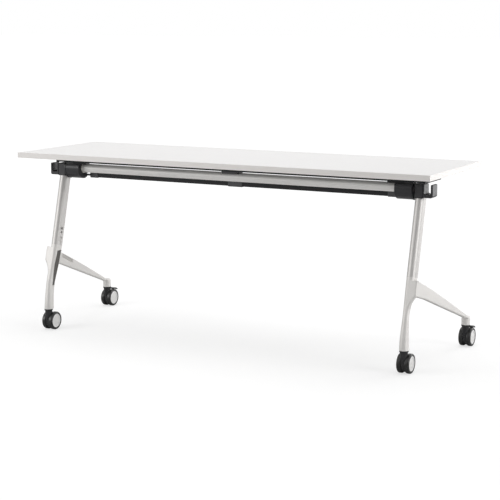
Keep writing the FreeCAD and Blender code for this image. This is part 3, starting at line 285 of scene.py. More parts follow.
@dataclass(frozen=True)
class Finish:
    """A material: two tones that drift, fine relief, rubbed edges, dust and hairline marks."""

    name: str
    slot: str
    tone: Colour
    second_tone: Colour
    roughness: float
    roughness_spread: float = 0.08
    metallic: float = 0.0
    coat: float = 0.0
    coat_roughness: float = 0.15
    specular: float = 0.5
    ior: float = 1.5
    relief: Relief = Relief.GRAIN
    grain_scale: float = 900.0
    grain_stretch: Triple = (1.0, 1.0, 1.0)
    grain_depth: float = 0.00004
    grain_strength: float = 0.5
    drift_scale: float = 6.0
    mottle: float = 0.35
    edge_radius: float = 0.0007
    edge_tone: Colour | None = None
    edge_share: float = 0.35
    dust: float = 0.0
    dust_tone: Colour = (0.52, 0.5, 0.47)
    marks: float = 0.0
    marks_scale: float = 20.0
    marks_gain: float = 1.25
    marks_lift: float = 0.02
    smoothest: float = 0.02

    def material(self) -> bpy.types.Material:
        """Build the material, or fetch it when it is already there.

        Returns:
            The Blender material.
        """
        made = bpy.data.materials.get(self.name)
        if made:
            return made
        made = bpy.data.materials.new(self.name)
        made.use_nodes = True
        made.diffuse_color = (*self.tone, 1.0)
        sheet = Sheet(made.node_tree)
        shader = made.node_tree.nodes["Principled BSDF"]
        shader.inputs["Metallic"].default_value = self.metallic
        shader.inputs["Specular IOR Level"].default_value = self.specular
        shader.inputs["IOR"].default_value = self.ior
        shader.inputs["Coat Weight"].default_value = self.coat
        shader.inputs["Coat Roughness"].default_value = self.coat_roughness
        colour = self.colour(sheet)
        edge = sheet.add("ShaderNodeGroup", node_tree=Effect.edge())
        edge.inputs["Radius"].default_value = self.edge_radius
        if self.edge_tone:
            share = sheet.maths("MULTIPLY", edge.outputs["Mask"], self.edge_share)
            colour = sheet.blend(share, colour, self.edge_tone)
        if self.marks:
            marks = sheet.add("ShaderNodeGroup", node_tree=Effect.scratches())
            marks.inputs["Scale"].default_value = self.marks_scale
            marks.inputs["Amount"].default_value = self.marks
            lighter = tuple(min(1.0, part * self.marks_gain + self.marks_lift) for part in self.tone)
            colour = sheet.blend(marks.outputs["Mask"], colour, lighter)
        if self.dust:
            dust = sheet.add("ShaderNodeGroup", node_tree=Effect.dust())
            dust.inputs["Amount"].default_value = self.dust
            colour = sheet.blend(dust.outputs["Mask"], colour, self.dust_tone)
        sheet.tree.links.new(colour, shader.inputs["Base Color"])
        value, height = self.fine_relief(sheet)
        low = max(self.smoothest, self.roughness - self.roughness_spread)
        high = self.roughness + self.roughness_spread
        rough = sheet.add("ShaderNodeMapRange", {
            "Value": value, "From Min": 0.3, "From Max": 0.7, "To Min": low, "To Max": high})
        sheet.tree.links.new(rough.outputs[0], shader.inputs["Roughness"])
        bump = sheet.add("ShaderNodeBump", {
            "Strength": self.grain_strength, "Distance": self.grain_depth, "Height": height,
            "Normal": edge.outputs["Normal"]})
        sheet.tree.links.new(bump.outputs[0], shader.inputs["Normal"])
        return made

    def colour(self, sheet: Sheet) -> bpy.types.NodeSocket:
        """The drifting base colour.

        Args:
            sheet: the material's node sheet.

        Returns:
            The colour's socket.
        """
        if self.relief is Relief.CHIPS:
            chips = sheet.add("ShaderNodeGroup", node_tree=Effect.chips())
            chips.inputs["Scale"].default_value = self.grain_scale
            return sheet.blend(chips.outputs["Tone"], self.tone, self.second_tone)
        drift = sheet.add("ShaderNodeGroup", node_tree=Effect.drift())
        drift.inputs["Tone A"].default_value = (*self.tone, 1.0)
        drift.inputs["Tone B"].default_value = (*self.second_tone, 1.0)
        drift.inputs["Scale"].default_value = self.drift_scale
        drift.inputs["Mottle"].default_value = self.mottle
        return drift.outputs["Colour"]

    def fine_relief(self, sheet: Sheet) -> tuple[bpy.types.NodeSocket, bpy.types.NodeSocket]:
        """The fine relief of the finish.

        Args:
            sheet: the material's node sheet.

        Returns:
            A value from 0 to 1 and a height.
        """
        if self.relief is Relief.CHIPS:
            chips = sheet.add("ShaderNodeGroup", node_tree=Effect.chips())
            chips.inputs["Scale"].default_value = self.grain_scale
            return chips.outputs["Tone"], chips.outputs["Height"]
        grain = sheet.add("ShaderNodeGroup", node_tree=Effect.grain())
        grain.inputs["Scale"].default_value = self.grain_scale
        grain.inputs["Stretch"].default_value = self.grain_stretch
        return grain.outputs["Value"], grain.outputs["Height"]


WHITE_LAMINATE = Finish(
    "white_pearl_laminate", "white_laminate", (0.86, 0.85, 0.845), (0.835, 0.822, 0.815), 0.34,
    roughness_spread=0.05, grain_scale=1500.0, grain_depth=0.00002, grain_strength=0.35,
    drift_scale=4.0, mottle=0.6, edge_radius=0.0004, marks=0.05, marks_scale=9.0)
BACKING_LAMINATE = Finish(
    "grey_backing_laminate", "backing_laminate", (0.62, 0.615, 0.6), (0.58, 0.572, 0.56), 0.5,
    grain_scale=1100.0, grain_depth=0.00004, grain_strength=0.5, drift_scale=7.0, mottle=0.7,
    marks=0.12, marks_scale=12.0)
EDGE_BAND = Finish(
    "white_edge_band", "edge_band", (0.89, 0.862, 0.838), (0.87, 0.838, 0.812), 0.4,
    grain_scale=260.0, grain_stretch=(0.05, 0.05, 6.0), grain_depth=0.00003, grain_strength=0.5,
    drift_scale=5.0, mottle=0.5, edge_radius=0.0008, edge_tone=(0.9, 0.88, 0.86), edge_share=0.3)
PRESSED_BOARD = Finish(
    "pressed_wood_chips", "particle_board", (0.56, 0.4, 0.24), (0.34, 0.22, 0.12), 0.85,
    relief=Relief.CHIPS, grain_scale=420.0, grain_depth=0.0003, grain_strength=0.8)
BLACK_STEEL = Finish(
    "black_powder_coat", "black_steel", (0.012, 0.012, 0.0135), (0.016, 0.016, 0.0175), 0.55,
    roughness_spread=0.12, specular=0.28, grain_scale=1300.0, grain_depth=0.00008,
    grain_strength=0.6, edge_tone=(0.1, 0.1, 0.105), edge_share=0.5, dust=0.05, marks=0.1)
# Painted light: the beam's silver is set lighter than the silver paint on the columns and feet. This
# brightens the beam where the board shades it.
SILVER_STEEL = Finish(
    "silver_painted_beam", "silver_steel", (0.88, 0.865, 0.845), (0.84, 0.825, 0.805), 0.42,
    metallic=0.12, grain_scale=1500.0, grain_depth=0.00005, grain_strength=0.4, drift_scale=5.0,
    mottle=0.6, edge_tone=(0.75, 0.74, 0.73), dust=0.08)
SILVER_TUBE = Finish(
    "silver_painted_column", "silver_tube", (0.62, 0.605, 0.59), (0.59, 0.575, 0.56), 0.46,
    metallic=0.42, grain_scale=1500.0, grain_depth=0.00005, grain_strength=0.4, drift_scale=6.0,
    mottle=0.6, edge_tone=(0.8, 0.79, 0.78), marks=0.06)
SILVER_CASTING = Finish(
    "silver_painted_casting", "silver_casting", (0.75, 0.733, 0.712), (0.71, 0.694, 0.675), 0.58,
    roughness_spread=0.1, metallic=0.42, grain_scale=420.0, grain_depth=0.00025,
    grain_strength=0.35, drift_scale=12.0, mottle=0.5, edge_radius=0.0012,
    edge_tone=(0.82, 0.81, 0.8), dust=0.06, marks=0.08)
BLACK_CASTING = Finish(
    "charcoal_painted_casting", "black_casting", (0.02, 0.0195, 0.022), (0.026, 0.0255, 0.028),
    0.42, roughness_spread=0.12, grain_scale=900.0, grain_depth=0.0001, grain_strength=0.5,
    edge_radius=0.0012, edge_tone=(0.16, 0.16, 0.17), edge_share=0.35, dust=0.05)
BLACK_PLASTIC = Finish(
    "black_moulded_plastic", "black_plastic", (0.015, 0.015, 0.0175), (0.02, 0.02, 0.023), 0.36,
    roughness_spread=0.1, grain_scale=1800.0, grain_depth=0.00006, grain_strength=0.6,
    edge_radius=0.001, edge_tone=(0.14, 0.14, 0.15), edge_share=0.25, dust=0.04, marks=0.06)
CHARCOAL_PLASTIC = Finish(
    "charcoal_moulded_plastic", "charcoal_plastic", (0.05, 0.05, 0.053), (0.06, 0.06, 0.063), 0.5,
    grain_scale=1600.0, grain_depth=0.00008, grain_strength=0.6, edge_radius=0.001,
    edge_tone=(0.2, 0.2, 0.2), edge_share=0.25, dust=0.1)
# Painted shade: the slot covers get a dark grey finish that stands in for the shade inside the feet's
# slots.
SHADE_SLOT_INSERT = Finish(
    "painted_shade_slot_insert", "grey_insert", (0.12, 0.113, 0.105), (0.1, 0.094, 0.088), 0.6,
    grain_scale=1400.0, grain_depth=0.0001, grain_strength=0.6, dust=0.05)
CASTER_PLASTIC = Finish(
    "caster_black_nylon", "caster_plastic", (0.01, 0.01, 0.0115), (0.014, 0.014, 0.0155), 0.24,
    roughness_spread=0.1, grain_scale=1500.0, grain_depth=0.00007, grain_strength=0.5,
    edge_radius=0.0012, edge_tone=(0.2, 0.2, 0.21), edge_share=0.35, dust=0.06, marks=0.08)
TREAD = Finish(
    "dark_tread_rubber", "tread", (0.009, 0.009, 0.0096), (0.013, 0.0125, 0.012), 0.34,
    roughness_spread=0.14, grain_scale=700.0, grain_depth=0.00015, grain_strength=0.6,
    drift_scale=40.0, mottle=0.6, edge_radius=0.0015, dust=0.06, dust_tone=(0.25, 0.24, 0.22),
    marks=0.1, marks_scale=60.0)
WHEEL_CORE = Finish(
    "white_wheel_ring", "wheel_core", (0.86, 0.855, 0.85), (0.82, 0.815, 0.81), 0.3,
    roughness_spread=0.07, grain_scale=1500.0, grain_depth=0.00004, grain_strength=0.4,
    drift_scale=30.0, mottle=0.5, coat=0.15, edge_tone=(0.72, 0.71, 0.7), edge_share=0.3, dust=0.05)
HUB_DISC = Finish(
    "light_grey_hub_disc", "wheel_core", (0.82, 0.81, 0.8), (0.79, 0.78, 0.77), 0.38,
    roughness_spread=0.07, grain_scale=1500.0, grain_depth=0.00005, grain_strength=0.5,
    drift_scale=30.0, mottle=0.5, edge_tone=(0.55, 0.54, 0.53), edge_share=0.4, dust=0.05)
BEIGE_INSERT = Finish(
    "beige_pocket_plate", "beige_insert", (0.62, 0.6, 0.57), (0.58, 0.56, 0.53), 0.55,
    grain_scale=1400.0, grain_depth=0.0001, grain_strength=0.6, dust=0.05)
BEARING_PLASTIC = Finish(
    "natural_bearing_plastic", "bearing_plastic", (0.6, 0.585, 0.54), (0.55, 0.535, 0.49), 0.4,
    grain_scale=1500.0, grain_depth=0.00004, grain_strength=0.4)
PLAIN_STEEL = Finish(
    "bright_zinc_steel", "plain_steel", (0.6, 0.6, 0.61), (0.5, 0.51, 0.53), 0.3,
    roughness_spread=0.12, metallic=1.0, grain_scale=700.0, grain_stretch=(1.0, 1.0, 5.0),
    grain_depth=0.00003, grain_strength=0.5, drift_scale=60.0, edge_radius=0.0003,
    edge_tone=(0.7, 0.7, 0.7), marks=0.15, marks_scale=90.0)
BLACK_SCREW = Finish(
    "blackened_screw_steel", "plain_steel", (0.05, 0.05, 0.053), (0.07, 0.07, 0.07), 0.38,
    roughness_spread=0.12, metallic=0.6, grain_scale=900.0, grain_depth=0.00003, grain_strength=0.5,
    edge_radius=0.0003, edge_tone=(0.16, 0.16, 0.16), edge_share=0.4)


def dress(finish: Finish, *nodes: str) -> None:
    """Give CAD nodes a finish.

    Args:
        finish: the finish.
        nodes: names of CAD nodes.
    """
    for name in nodes:
        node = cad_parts[name]
        node.data.materials.clear()
        node.data.materials.append(finish.material())
    LOG.info("%s on %d nodes", finish.name, len(nodes))


def show(name: str, data: bpy.types.ID) -> bpy.types.Object:
    """Put a mesh, lamp or camera in the scene.

    Args:
        name: the object's name.
        data: what it shows.

    Returns:
        The new object.
    """
    made = bpy.data.objects.new(name, data)
    bpy.context.scene.collection.objects.link(made)
    return made


def close_mesh(work: bmesh.types.BMesh, name: str) -> bpy.types.Mesh:
    """Turn a finished work mesh into mesh data, and free it.

    Args:
        work: the work mesh.
        name: the name of the mesh data.

    Returns:
        The mesh data.
    """
    mesh = bpy.data.meshes.new(name)
    work.to_mesh(mesh)
    work.free()
    return mesh


def piece(name: str, mesh: bpy.types.Mesh, finish: Finish, body: str) -> bpy.types.Object:
    """Put a finished mesh in the scene as a piece that rides on a body.

    Args:
        name: the piece's name.
        mesh: its mesh, in the row frame.
        finish: its finish.
        body: the CAD body that it moves with.

    Returns:
        The new object.
    """
    made = show(name, mesh)
    mesh.materials.append(finish.material())
    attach(made, body)
    LOG.info("piece %s rides on %s", name, body)
    return made


def smooth(mesh: bpy.types.Mesh, sharp_deg: float = 35.0) -> None:
    """Shade a mesh smooth, but keep edges sharper than an angle crisp.

    Args:
        mesh: the mesh.
        sharp_deg: edges that turn more than this stay sharp.
    """
    limit = math.radians(sharp_deg)
    work = bmesh.new()
    work.from_mesh(mesh)
    for face in work.faces:
        face.smooth = True
    for edge in work.edges:
        edge.smooth = len(edge.link_faces) == 2 and edge.calc_face_angle(0.0) < limit
    work.to_mesh(mesh)
    work.free()


def turned_rings(work: bmesh.types.BMesh, rings: list[list[Vector]]) -> None:
    """Skin a stack of closed rings that have equal numbers of points, and close both ends.

    Args:
        work: the mesh to add to.
        rings: the rings, from one end to the other.
    """
    made = [[work.verts.new(point) for point in ring] for ring in rings]
    count = len(rings[0])
    for lower, upper in zip(made, made[1:]):
        for index in range(count):
            after = (index + 1) % count
            work.faces.new((lower[index], lower[after], upper[after], upper[index]))
    work.faces.new(list(reversed(made[0])))
    work.faces.new(made[-1])


def axis_frame(axis: Vector) -> Matrix:
    """A rotation that takes +Z to an axis.

    Args:
        axis: the wanted direction.

    Returns:
        The rotation as a 3 by 3 matrix.
    """
    return axis.normalized().to_track_quat("Z", "Y").to_matrix()


def mesh_islands(mesh: bpy.types.Mesh) -> list[list[Vector]]:
    """The separate solids in a mesh.

    Args:
        mesh: the mesh of a grouped CAD node.

    Returns:
        The points of each solid.
    """
    work = bmesh.new()
    work.from_mesh(mesh)
    bmesh.ops.remove_doubles(work, verts=work.verts, dist=WELD_DISTANCE)
    seen: set[bmesh.types.BMVert] = set()
    islands = []
    for start in work.verts:
        if start in seen:
            continue
        seen.add(start)
        island, waiting = [], [start]
        while waiting:
            vertex = waiting.pop()
            island.append(vertex.co.copy())
            for edge in vertex.link_edges:
                other = edge.other_vert(vertex)
                if other not in seen:
                    seen.add(other)
                    waiting.append(other)
        islands.append(island)
    work.free()
    return islands


class Drive(Enum):
    """The recess in a screw's head."""

    HEX = "hex"
    CROSS = "cross"


@dataclass(frozen=True)
class Screw:
    """A domed or sunk screw with a driver recess, turned ring by ring."""

    head_radius: float
    head_height: float
    shank_radius: float
    shank_length: float
    drive: Drive
    recess_radius: float
    recess_depth: float
    sunk: bool = False
    thread_pitch: float = 0.0009
    thread_root: float = 0.82
    tip: float = 0.25
    segments: int = 36
    dome_shares: tuple[float, ...] = (0.15, 0.4, 0.62, 0.8, 0.92)
    dome_power: float = 2.4
    sunk_rim: tuple[tuple[float, float], ...] = ((0.99, 0.96), (0.97, 1.0))
    cross_half_turn: float = 0.3
    cross_waist: float = 0.42
    recess_rim: float = 1.12
    recess_mouth: float = 0.99
    recess_foot: float = 0.92
    recess_point: float = 0.1
    recess_past: float = 1.05

    def recess_at(self, turn: float, radius: float) -> float:
        """How far the recess reaches at an angle.

        Args:
            turn: the angle about the screw's axis.
            radius: the recess's largest radius.

        Returns:
            The radius at that angle.
        """
        if self.drive is Drive.HEX:
            sector = math.pi / 3
            off = (turn % sector) - sector / 2
            return radius * math.cos(sector / 2) / math.cos(off)
        off = abs(((turn + math.pi / 4) % (math.pi / 2)) - math.pi / 4)
        return radius if off < self.cross_half_turn else radius * self.cross_waist

    def ring(self, radius: float, height: float, recess: bool = False) -> list[Vector]:
        """One ring of points about the axis.

        Args:
            radius: its radius.
            height: its height above the seat.
            recess: follow the driver recess's outline.

        Returns:
            The ring's points.
        """
        points = []
        for index in range(self.segments):
            turn = 2 * math.pi * index / self.segments
            reach = self.recess_at(turn, radius) if recess else radius
            points.append(Vector((reach * math.cos(turn), reach * math.sin(turn), height)))
        return points

    def head_rings(self) -> list[list[Vector]]:
        """The head's outside, from its underside to the rim of the recess.

        Returns:
            The rings.
        """
        if self.sunk:
            return [self.ring(self.head_radius * wide, self.head_height * high)
                    for wide, high in self.sunk_rim]
        rings = [self.ring(self.head_radius, 0.0)]
        for share in self.dome_shares:
            bow = math.sqrt(1 - share ** self.dome_power)
            radius = self.recess_radius + (self.head_radius - self.recess_radius) * bow
            rings.append(self.ring(radius, self.head_height * share))
        return rings

    def add_to(self, work: bmesh.types.BMesh, seat: Vector, out: Vector) -> None:
        """Add the screw to a mesh.

        Args:
            work: the mesh to add to.
            seat: the middle of the head's underside.
            out: the direction from the seat to the head's crown.
        """
        rings = [self.ring(self.shank_radius * self.tip, -self.shank_length)]
        turns = int(self.shank_length / self.thread_pitch)
        for index in range(turns * 2, 0, -1):
            proud = 1.0 if index % 2 else self.thread_root
            rings.append(self.ring(self.shank_radius * proud, -self.thread_pitch * index / 2))
        rings.append(self.ring(self.shank_radius, 0.0))
        rings += self.head_rings()
        floor = self.head_height - self.recess_depth
        lowest = self.head_height - self.recess_depth * self.recess_past
        rings.append(self.ring(self.recess_radius * self.recess_rim, self.head_height))
        rings.append(self.ring(self.recess_radius, self.head_height * self.recess_mouth, recess=True))
        rings.append(self.ring(self.recess_radius * self.recess_foot, floor, recess=True))
        rings.append(self.ring(self.recess_radius * self.recess_point, lowest))
        turn = axis_frame(out)
        turned_rings(work, [[seat + turn @ point for point in ring] for ring in rings])


@dataclass
class Wheels:
    """The twin wheels of the four casters."""

    disc_radius: float = 0.0208
    disc_crown: float = 0.0011
    rim_steps: tuple[tuple[float, float], ...] = ((0.0, 0.0), (0.0, 0.0009), (0.0003, 0.0013),
                                                  (0.0008, 0.00145))
    outer_margin: float = 0.0015
    outer_count: int = 7
    groove_radius: float = 0.0148
    groove_half: float = 0.00035
    groove_floor_half: float = 0.0002
    groove_depth: float = 0.0004
    inner_margin: float = 0.0008
    inner_count: int = 5
    boss_radius: float = 0.0052
    boss_rise: float = 0.0007
    boss_steps: tuple[tuple[float, float], ...] = ((0.0, 0.0), (0.0004, 0.8), (0.001, 1.0))
    centre_radius: float = 0.0005
    dish_from_rim: float = 0.0025
    segments: int = 64

    def disc_profile(self) -> list[tuple[float, float]]:
        """The hub disc's section, from its underside edge over the crown to the boss.

        Returns:
            Radius and height pairs.
        """
        rim_inward, _ = self.rim_steps[-1]
        groove_edge = self.groove_radius - self.groove_half
        steps = [(self.disc_radius - inward, rise) for inward, rise in self.rim_steps]
        steps += self.dome(self.disc_radius - rim_inward,
                           self.disc_radius - self.groove_radius - self.outer_margin, self.outer_count)
        groove = self.height_at(self.groove_radius)
        steps += [(self.groove_radius + self.groove_half, groove),
                  (self.groove_radius + self.groove_floor_half, groove - self.groove_depth),
                  (self.groove_radius - self.groove_floor_half, groove - self.groove_depth),
                  (groove_edge, groove)]
        steps += self.dome(groove_edge, self.groove_radius - self.boss_radius - self.inner_margin,
                           self.inner_count)
        top = self.height_at(self.boss_radius)
        steps += [(self.boss_radius - inward, top + self.boss_rise * share)
                  for inward, share in self.boss_steps]
        steps.append((self.centre_radius, top + self.boss_rise))
        return steps

    def dome(self, start: float, span: float, count: int) -> list[tuple[float, float]]:
        """Even steps inwards over the crown.

        Args:
            start: the radius before the first step.
            span: how far inwards the last step lies.
            count: how many steps.

        Returns:
            Radius and height pairs.
        """
        radii = [start - index * span / count for index in range(1, count + 1)]
        return [(radius, self.height_at(radius)) for radius in radii]

    def height_at(self, radius: float) -> float:
        """Height of the disc's outer face at a radius.

        Args:
            radius: the distance from the wheel's axis.

        Returns:
            The height above the disc's underside.
        """
        _, rim_rise = self.rim_steps[-1]
        return rim_rise + self.disc_crown * (1 - (radius / self.disc_radius) ** 2)

    def hub_disc(self, core: str, out: Vector) -> bpy.types.Mesh:
        """A domed disc that fills the dish of a wheel centre.

        Args:
            core: the CAD node of the wheel centre.
            out: the direction that the wheel's outer face looks.

        Returns:
            The mesh.
        """
        low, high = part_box(core)
        middle = (low + high) / 2
        face = high.x if out.x > 0 else low.x
        seat = Vector((face - out.x * self.dish_from_rim, middle.y, middle.z))
        turn = axis_frame(out)
        work = bmesh.new()
        rings = []
        for radius, height in self.disc_profile():
            ring = []
            for index in range(self.segments):
                angle = 2 * math.pi * index / self.segments
                point = Vector((radius * math.cos(angle), radius * math.sin(angle), height))
                ring.append(seat + turn @ point)
            rings.append(ring)
        turned_rings(work, rings)
        mesh = close_mesh(work, "hub_disc_" + core)
        smooth(mesh)
        return mesh

    def build(self) -> None:
        """Dress the treads and wheel centres, and put a hub disc on each outer face."""
        for caster in CASTERS:
            dress(CASTER_PLASTIC, "caster_housing_" + caster)
            dress(PLAIN_STEEL, "caster_axle_" + caster)
            for letter, out in (("l", Vector((-1, 0, 0))), ("r", Vector((1, 0, 0)))):
                dress(TREAD, f"tyre_{caster}_{letter}")
                core = f"wheel_core_{caster}_{letter}"
                dress(WHEEL_CORE, core)
                piece(f"hub_disc_{caster}_{letter}", self.hub_disc(core, out), HUB_DISC,
                      f"wheel_{caster}_{letter}")
        dress(PLAIN_STEEL, "caster_stems")
        dress(CASTER_PLASTIC, "brake_pedal_rear_left", "brake_pedal_rear_right")


@dataclass
class Fasteners:
    """Every screw that can be seen, turned again with a driver recess in its head."""

    lean: float = math.radians(14.4)
    sharp_deg: float = 30.0
    wood: Screw = Screw(0.0048, 0.003, 0.0023, 0.0148, Drive.CROSS, 0.0026, 0.0016)
    machine: Screw = Screw(0.0045, 0.0024, 0.0024, 0.0138, Drive.HEX, 0.0019, 0.0014)
    flush: Screw = Screw(0.0045, 0.0024, 0.0024, 0.0112, Drive.HEX, 0.0017, 0.0012, sunk=True)

    def remake(self, node: str, screw: Screw, out: Callable[[Vector], Vector], finish: Finish,
               body: str) -> None:
        """Replace a grouped screw node by finer screws in the same places.

        Args:
            node: the CAD node.
            screw: the screw to set in each place.
            out: gives a screw's outward direction from a point of it.
            finish: the screws' finish.
            body: the body that they ride on.
        """
        work = bmesh.new()
        for island in mesh_islands(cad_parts[node].data):
            way = out(island[0])
            screw.add_to(work, self.seat(island, way, screw), way)
        mesh = close_mesh(work, node + "_turned")
        smooth(mesh, self.sharp_deg)
        made = piece(node + "_turned", mesh, finish, body)
        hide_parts(node)

    def seat(self, island: list[Vector], way: Vector, screw: Screw) -> Vector:
        """Where a screw's head meets what it holds.

        Args:
            island: the points of the CAD screw.
            way: the direction from the seat to the crown.
            screw: the screw to set there.

        Returns:
            The middle of the head's underside.
        """
        turn = axis_frame(way)
        local = [turn.transposed() @ point for point in island]
        middle = []
        for axis in (0, 1):
            reach = [point[axis] for point in local]
            middle.append((min(reach) + max(reach)) / 2)
        crown = max(point.z for point in local)
        return turn @ Vector((*middle, crown - screw.head_height))

    def build(self) -> None:
        """Remake the four grouped sets."""
        down = Vector((0, 0, -1))
        behind = Vector((0, math.cos(self.lean), -math.sin(self.lean)))
        self.remake("bracket_screws", self.wood, lambda middle: down, PLAIN_STEEL, "board")
        self.remake("rail_screws", self.wood, lambda middle: down, PLAIN_STEEL, "board")
        self.remake("leg_screws", self.machine, lambda middle: behind, PLAIN_STEEL, "base")
        self.remake("hook_screws", self.flush, lambda middle: Vector((math.copysign(1, middle.x), 0, 0)),
                    BLACK_SCREW, "base")


@dataclass
class Board:
    """The tipping board and what is fixed under it."""

    def build(self) -> None:
        """Dress the board, its rail, brackets, drums and saddle."""
        dress(PRESSED_BOARD, "board_core")
        dress(WHITE_LAMINATE, "board_facing")
        dress(BACKING_LAMINATE, "board_backing")
        dress(EDGE_BAND, "edge_strips")
        dress(BLACK_STEEL, "front_rail", "top_bracket_left", "top_bracket_right")
        dress(BLACK_PLASTIC, "hinge_drum_left", "hinge_drum_right")
        dress(CHARCOAL_PLASTIC, "beam_saddle")
        dress(BEARING_PLASTIC, "pivot_bushes")
        dress(PLAIN_STEEL, "latch_pins", "latch_springs")


@dataclass
class Release:
    """The release bar with its sleeves and latches."""

    def build(self) -> None:
        """Dress the bar, the sleeves and the latches."""
        dress(BLACK_STEEL, "release_bar")
        dress(CHARCOAL_PLASTIC, "bar_sleeves")
        dress(PLAIN_STEEL, "latch_left", "latch_right")


@dataclass
class Base:
    """The beam, the leg heads, columns, feet and hooks."""

    def build(self) -> None:
        """Dress every standing node."""
        dress(SILVER_STEEL, "cross_beam")
        dress(PLAIN_STEEL, "lock_discs")
        for side, _ in SIDES:
            dress(BLACK_CASTING, "leg_head_" + side)
            dress(BLACK_PLASTIC, "bag_hook_" + side)
            dress(SILVER_TUBE, "column_" + side)
            dress(SILVER_CASTING, "foot_" + side)
        # The slot covers' dark grey paints the shade inside the feet's slots.
        dress(SHADE_SLOT_INSERT, "slot_covers")
        dress(BEIGE_INSERT, "pocket_plates")


@dataclass(frozen=True)
class Lamp:
    """A soft rectangular lamp; its size is width and height, and its power is in watts."""

    name: str
    place: Triple
    aim: Triple
    size: tuple[float, float]
    power: float

    def build(self) -> None:
        """Hang the lamp where it faces its aim."""
        data = bpy.data.lights.new(self.name, "AREA")
        data.shape = "RECTANGLE"
        data.size, data.size_y = self.size
        data.energy = self.power
        made = show(self.name, data)
        made.visible_camera = False
        place = Vector(self.place)
        turn = (place - Vector(self.aim)).to_track_quat("Z", "Y").to_matrix().to_4x4()
        made.matrix_world = Matrix.Translation(place) @ turn


LAMPS = (
    Lamp("right_window", (8.6, -0.6, 2.4), (0.0, 0.0, 0.5), (4.6, 3.6), 262.0),
    Lamp("rear_right_panel", (2.75, 3.55, 1.1), (0.85, 0.0, 0.6), (2.6, 2.2), 45.0),
    Lamp("top_panel", (-0.2, 0.6, 4.4), (0.0, 0.0, 0.5), (5.0, 3.2), 78.0),
    Lamp("front_left_panel", (-3.2, -3.8, 1.7), (-0.4, 0.0, 0.6), (2.4, 1.8), 68.0),
)


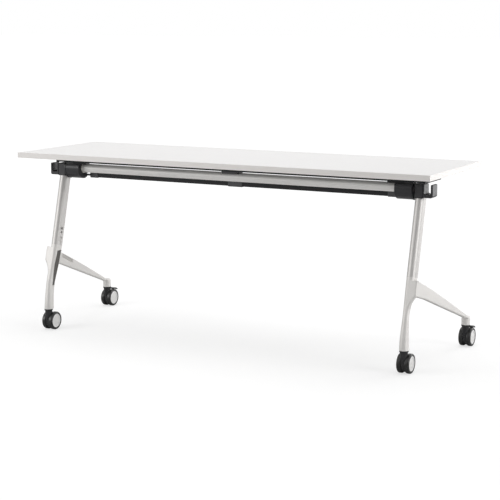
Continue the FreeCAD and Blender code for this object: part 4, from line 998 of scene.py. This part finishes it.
@dataclass
class Studio:
    """Pale floor, white surround, soft lamps and the photograph's camera."""

    azimuth: float = 27.79
    elevation: float = 9.56
    distance: float = 5.71161
    aim_across: float = 0.02986
    aim_up: float = -0.03331
    aim_height: float = 0.4
    aim_depth: float = -0.0335
    lens: float = 101.9
    sensor: float = 36.0
    nearest: float = 0.1
    farthest: float = 200.0
    floor_half: float = 60.0
    floor_inner_half: float = 6.0
    floor_lit: Colour = (0.72, 0.72, 0.72)
    floor_shown: Colour = (0.45, 0.45, 0.45)
    near_glow: float = 0.64
    far_glow: float = 0.9
    sky: float = 0.42
    screen_radius: float = 8.0
    screen_before_deg: float = 42.0
    screen_step_deg: float = 7.0
    screen_panels: int = 12
    screen_foot: float = 0.02
    screen_top: float = 3.4
    screen_lean: float = 0.93
    screen_tone: Colour = (0.03, 0.03, 0.03)

    def camera(self) -> None:
        """Set the camera at the photograph's angle."""
        turn, rise = math.radians(self.azimuth), math.radians(self.elevation)
        back = Vector((math.sin(turn) * math.cos(rise), -math.cos(turn) * math.cos(rise),
                       math.sin(rise)))
        right = Vector((math.cos(turn), math.sin(turn), 0.0))
        up = back.cross(right)
        aim = Vector((0.0, self.aim_depth, self.aim_height))
        aim += right * self.aim_across + up * self.aim_up
        data = bpy.data.cameras.new("desk_camera")
        data.lens = self.lens
        data.sensor_width = self.sensor
        data.clip_start, data.clip_end = self.nearest, self.farthest
        made = show("desk_camera", data)
        made.matrix_world = Matrix((
            (right.x, up.x, back.x, aim.x + back.x * self.distance),
            (right.y, up.y, back.y, aim.y + back.y * self.distance),
            (right.z, up.z, back.z, aim.z + back.z * self.distance),
            (0.0, 0.0, 0.0, 1.0)))
        bpy.context.scene.camera = made

    def floor(self) -> None:
        """A wide pale floor that keeps the desk's shadow."""
        work = bmesh.new()
        steps = (-self.floor_half, -self.floor_inner_half, self.floor_inner_half, self.floor_half)
        grid = [[work.verts.new((x, y, 0.0)) for x in steps] for y in steps]
        for near, behind in zip(grid, grid[1:]):
            for left in range(len(steps) - 1):
                work.faces.new((near[left], near[left + 1], behind[left + 1], behind[left]))
        mesh = close_mesh(work, "studio_floor")
        made = show("studio_floor", mesh)
        material = bpy.data.materials.new("pale_floor")
        material.use_nodes = True
        sheet = Sheet(material.node_tree)
        shader = material.node_tree.nodes["Principled BSDF"]
        shader.inputs["Roughness"].default_value = 0.9
        shader.inputs["Specular IOR Level"].default_value = 0.0
        seen = sheet.add("ShaderNodeLightPath").outputs["Is Camera Ray"]
        tone = sheet.blend(seen, self.floor_lit, self.floor_shown)
        sheet.tree.links.new(tone, shader.inputs["Base Color"])
        place = sheet.add("ShaderNodeNewGeometry").outputs["Position"]
        far = sheet.add("ShaderNodeVectorMath", {0: place}, operation="LENGTH").outputs["Value"]
        lift = sheet.add("ShaderNodeMapRange", {
            "Value": far, "From Min": 1.6, "From Max": 7.0,
            "To Min": self.near_glow, "To Max": self.far_glow})
        strength = sheet.maths("MULTIPLY", seen, lift.outputs[0])
        glow = sheet.add("ShaderNodeEmission", {"Color": (1.0, 1.0, 1.0, 1.0), "Strength": strength})
        both = sheet.add("ShaderNodeAddShader", {0: shader.outputs[0], 1: glow.outputs[0]})
        output = material.node_tree.nodes["Material Output"]
        sheet.tree.links.new(both.outputs[0], output.inputs["Surface"])
        mesh.materials.append(material)

    def surround(self) -> None:
        """A white world that lights the desk softly."""
        world = bpy.data.worlds.new("studio_world")
        bpy.context.scene.world = world
        world.use_nodes = True
        sheet = Sheet(world.node_tree)
        path = sheet.add("ShaderNodeLightPath")
        seen = sheet.maths("MAXIMUM", path.outputs["Is Camera Ray"], path.outputs["Is Transmission Ray"])
        shown = sheet.maths("MAXIMUM", seen, path.outputs["Is Glossy Ray"])
        strength = sheet.maths("ADD", sheet.maths("MULTIPLY", shown, 1.0 - self.sky), self.sky)
        background = world.node_tree.nodes["Background"]
        background.inputs["Color"].default_value = (1.0, 1.0, 1.0, 1.0)
        sheet.tree.links.new(strength, background.inputs["Strength"])

    def screen(self) -> None:
        """A dark curved screen behind the camera, seen only in the desk's gloss."""
        work = bmesh.new()
        lower, upper = [], []
        for index in range(self.screen_panels + 1):
            turn = math.radians(self.azimuth - self.screen_before_deg + index * self.screen_step_deg)
            x, y = self.screen_radius * math.sin(turn), -self.screen_radius * math.cos(turn)
            lower.append(work.verts.new((x, y, self.screen_foot)))
            upper.append(work.verts.new((x * self.screen_lean, y * self.screen_lean, self.screen_top)))
        for index in range(self.screen_panels):
            work.faces.new((lower[index], lower[index + 1], upper[index + 1], upper[index]))
        mesh = close_mesh(work, "dark_screen")
        made = show("dark_screen", mesh)
        material = bpy.data.materials.new("dark_screen_felt")
        material.use_nodes = True
        shader = material.node_tree.nodes["Principled BSDF"]
        shader.inputs["Base Color"].default_value = (*self.screen_tone, 1.0)
        shader.inputs["Roughness"].default_value = 0.95
        mesh.materials.append(material)
        made.visible_camera = False
        made.visible_shadow = False

    def build(self) -> None:
        """Set up the whole studio."""
        bpy.context.scene.view_settings.view_transform = "Standard"
        self.camera()
        self.floor()
        self.surround()
        self.screen()
        for lamp in LAMPS:
            lamp.build()


def main() -> None:
    """Build the sub-assemblies in order, then the studio."""
    logging.basicConfig(level=logging.INFO, format="%(message)s")
    for assembly in (Board(), Release(), Base(), Wheels(), Fasteners(), Studio()):
        LOG.info("building %s", type(assembly).__name__)
        assembly.build()


if __name__ == "__main__":
    main()
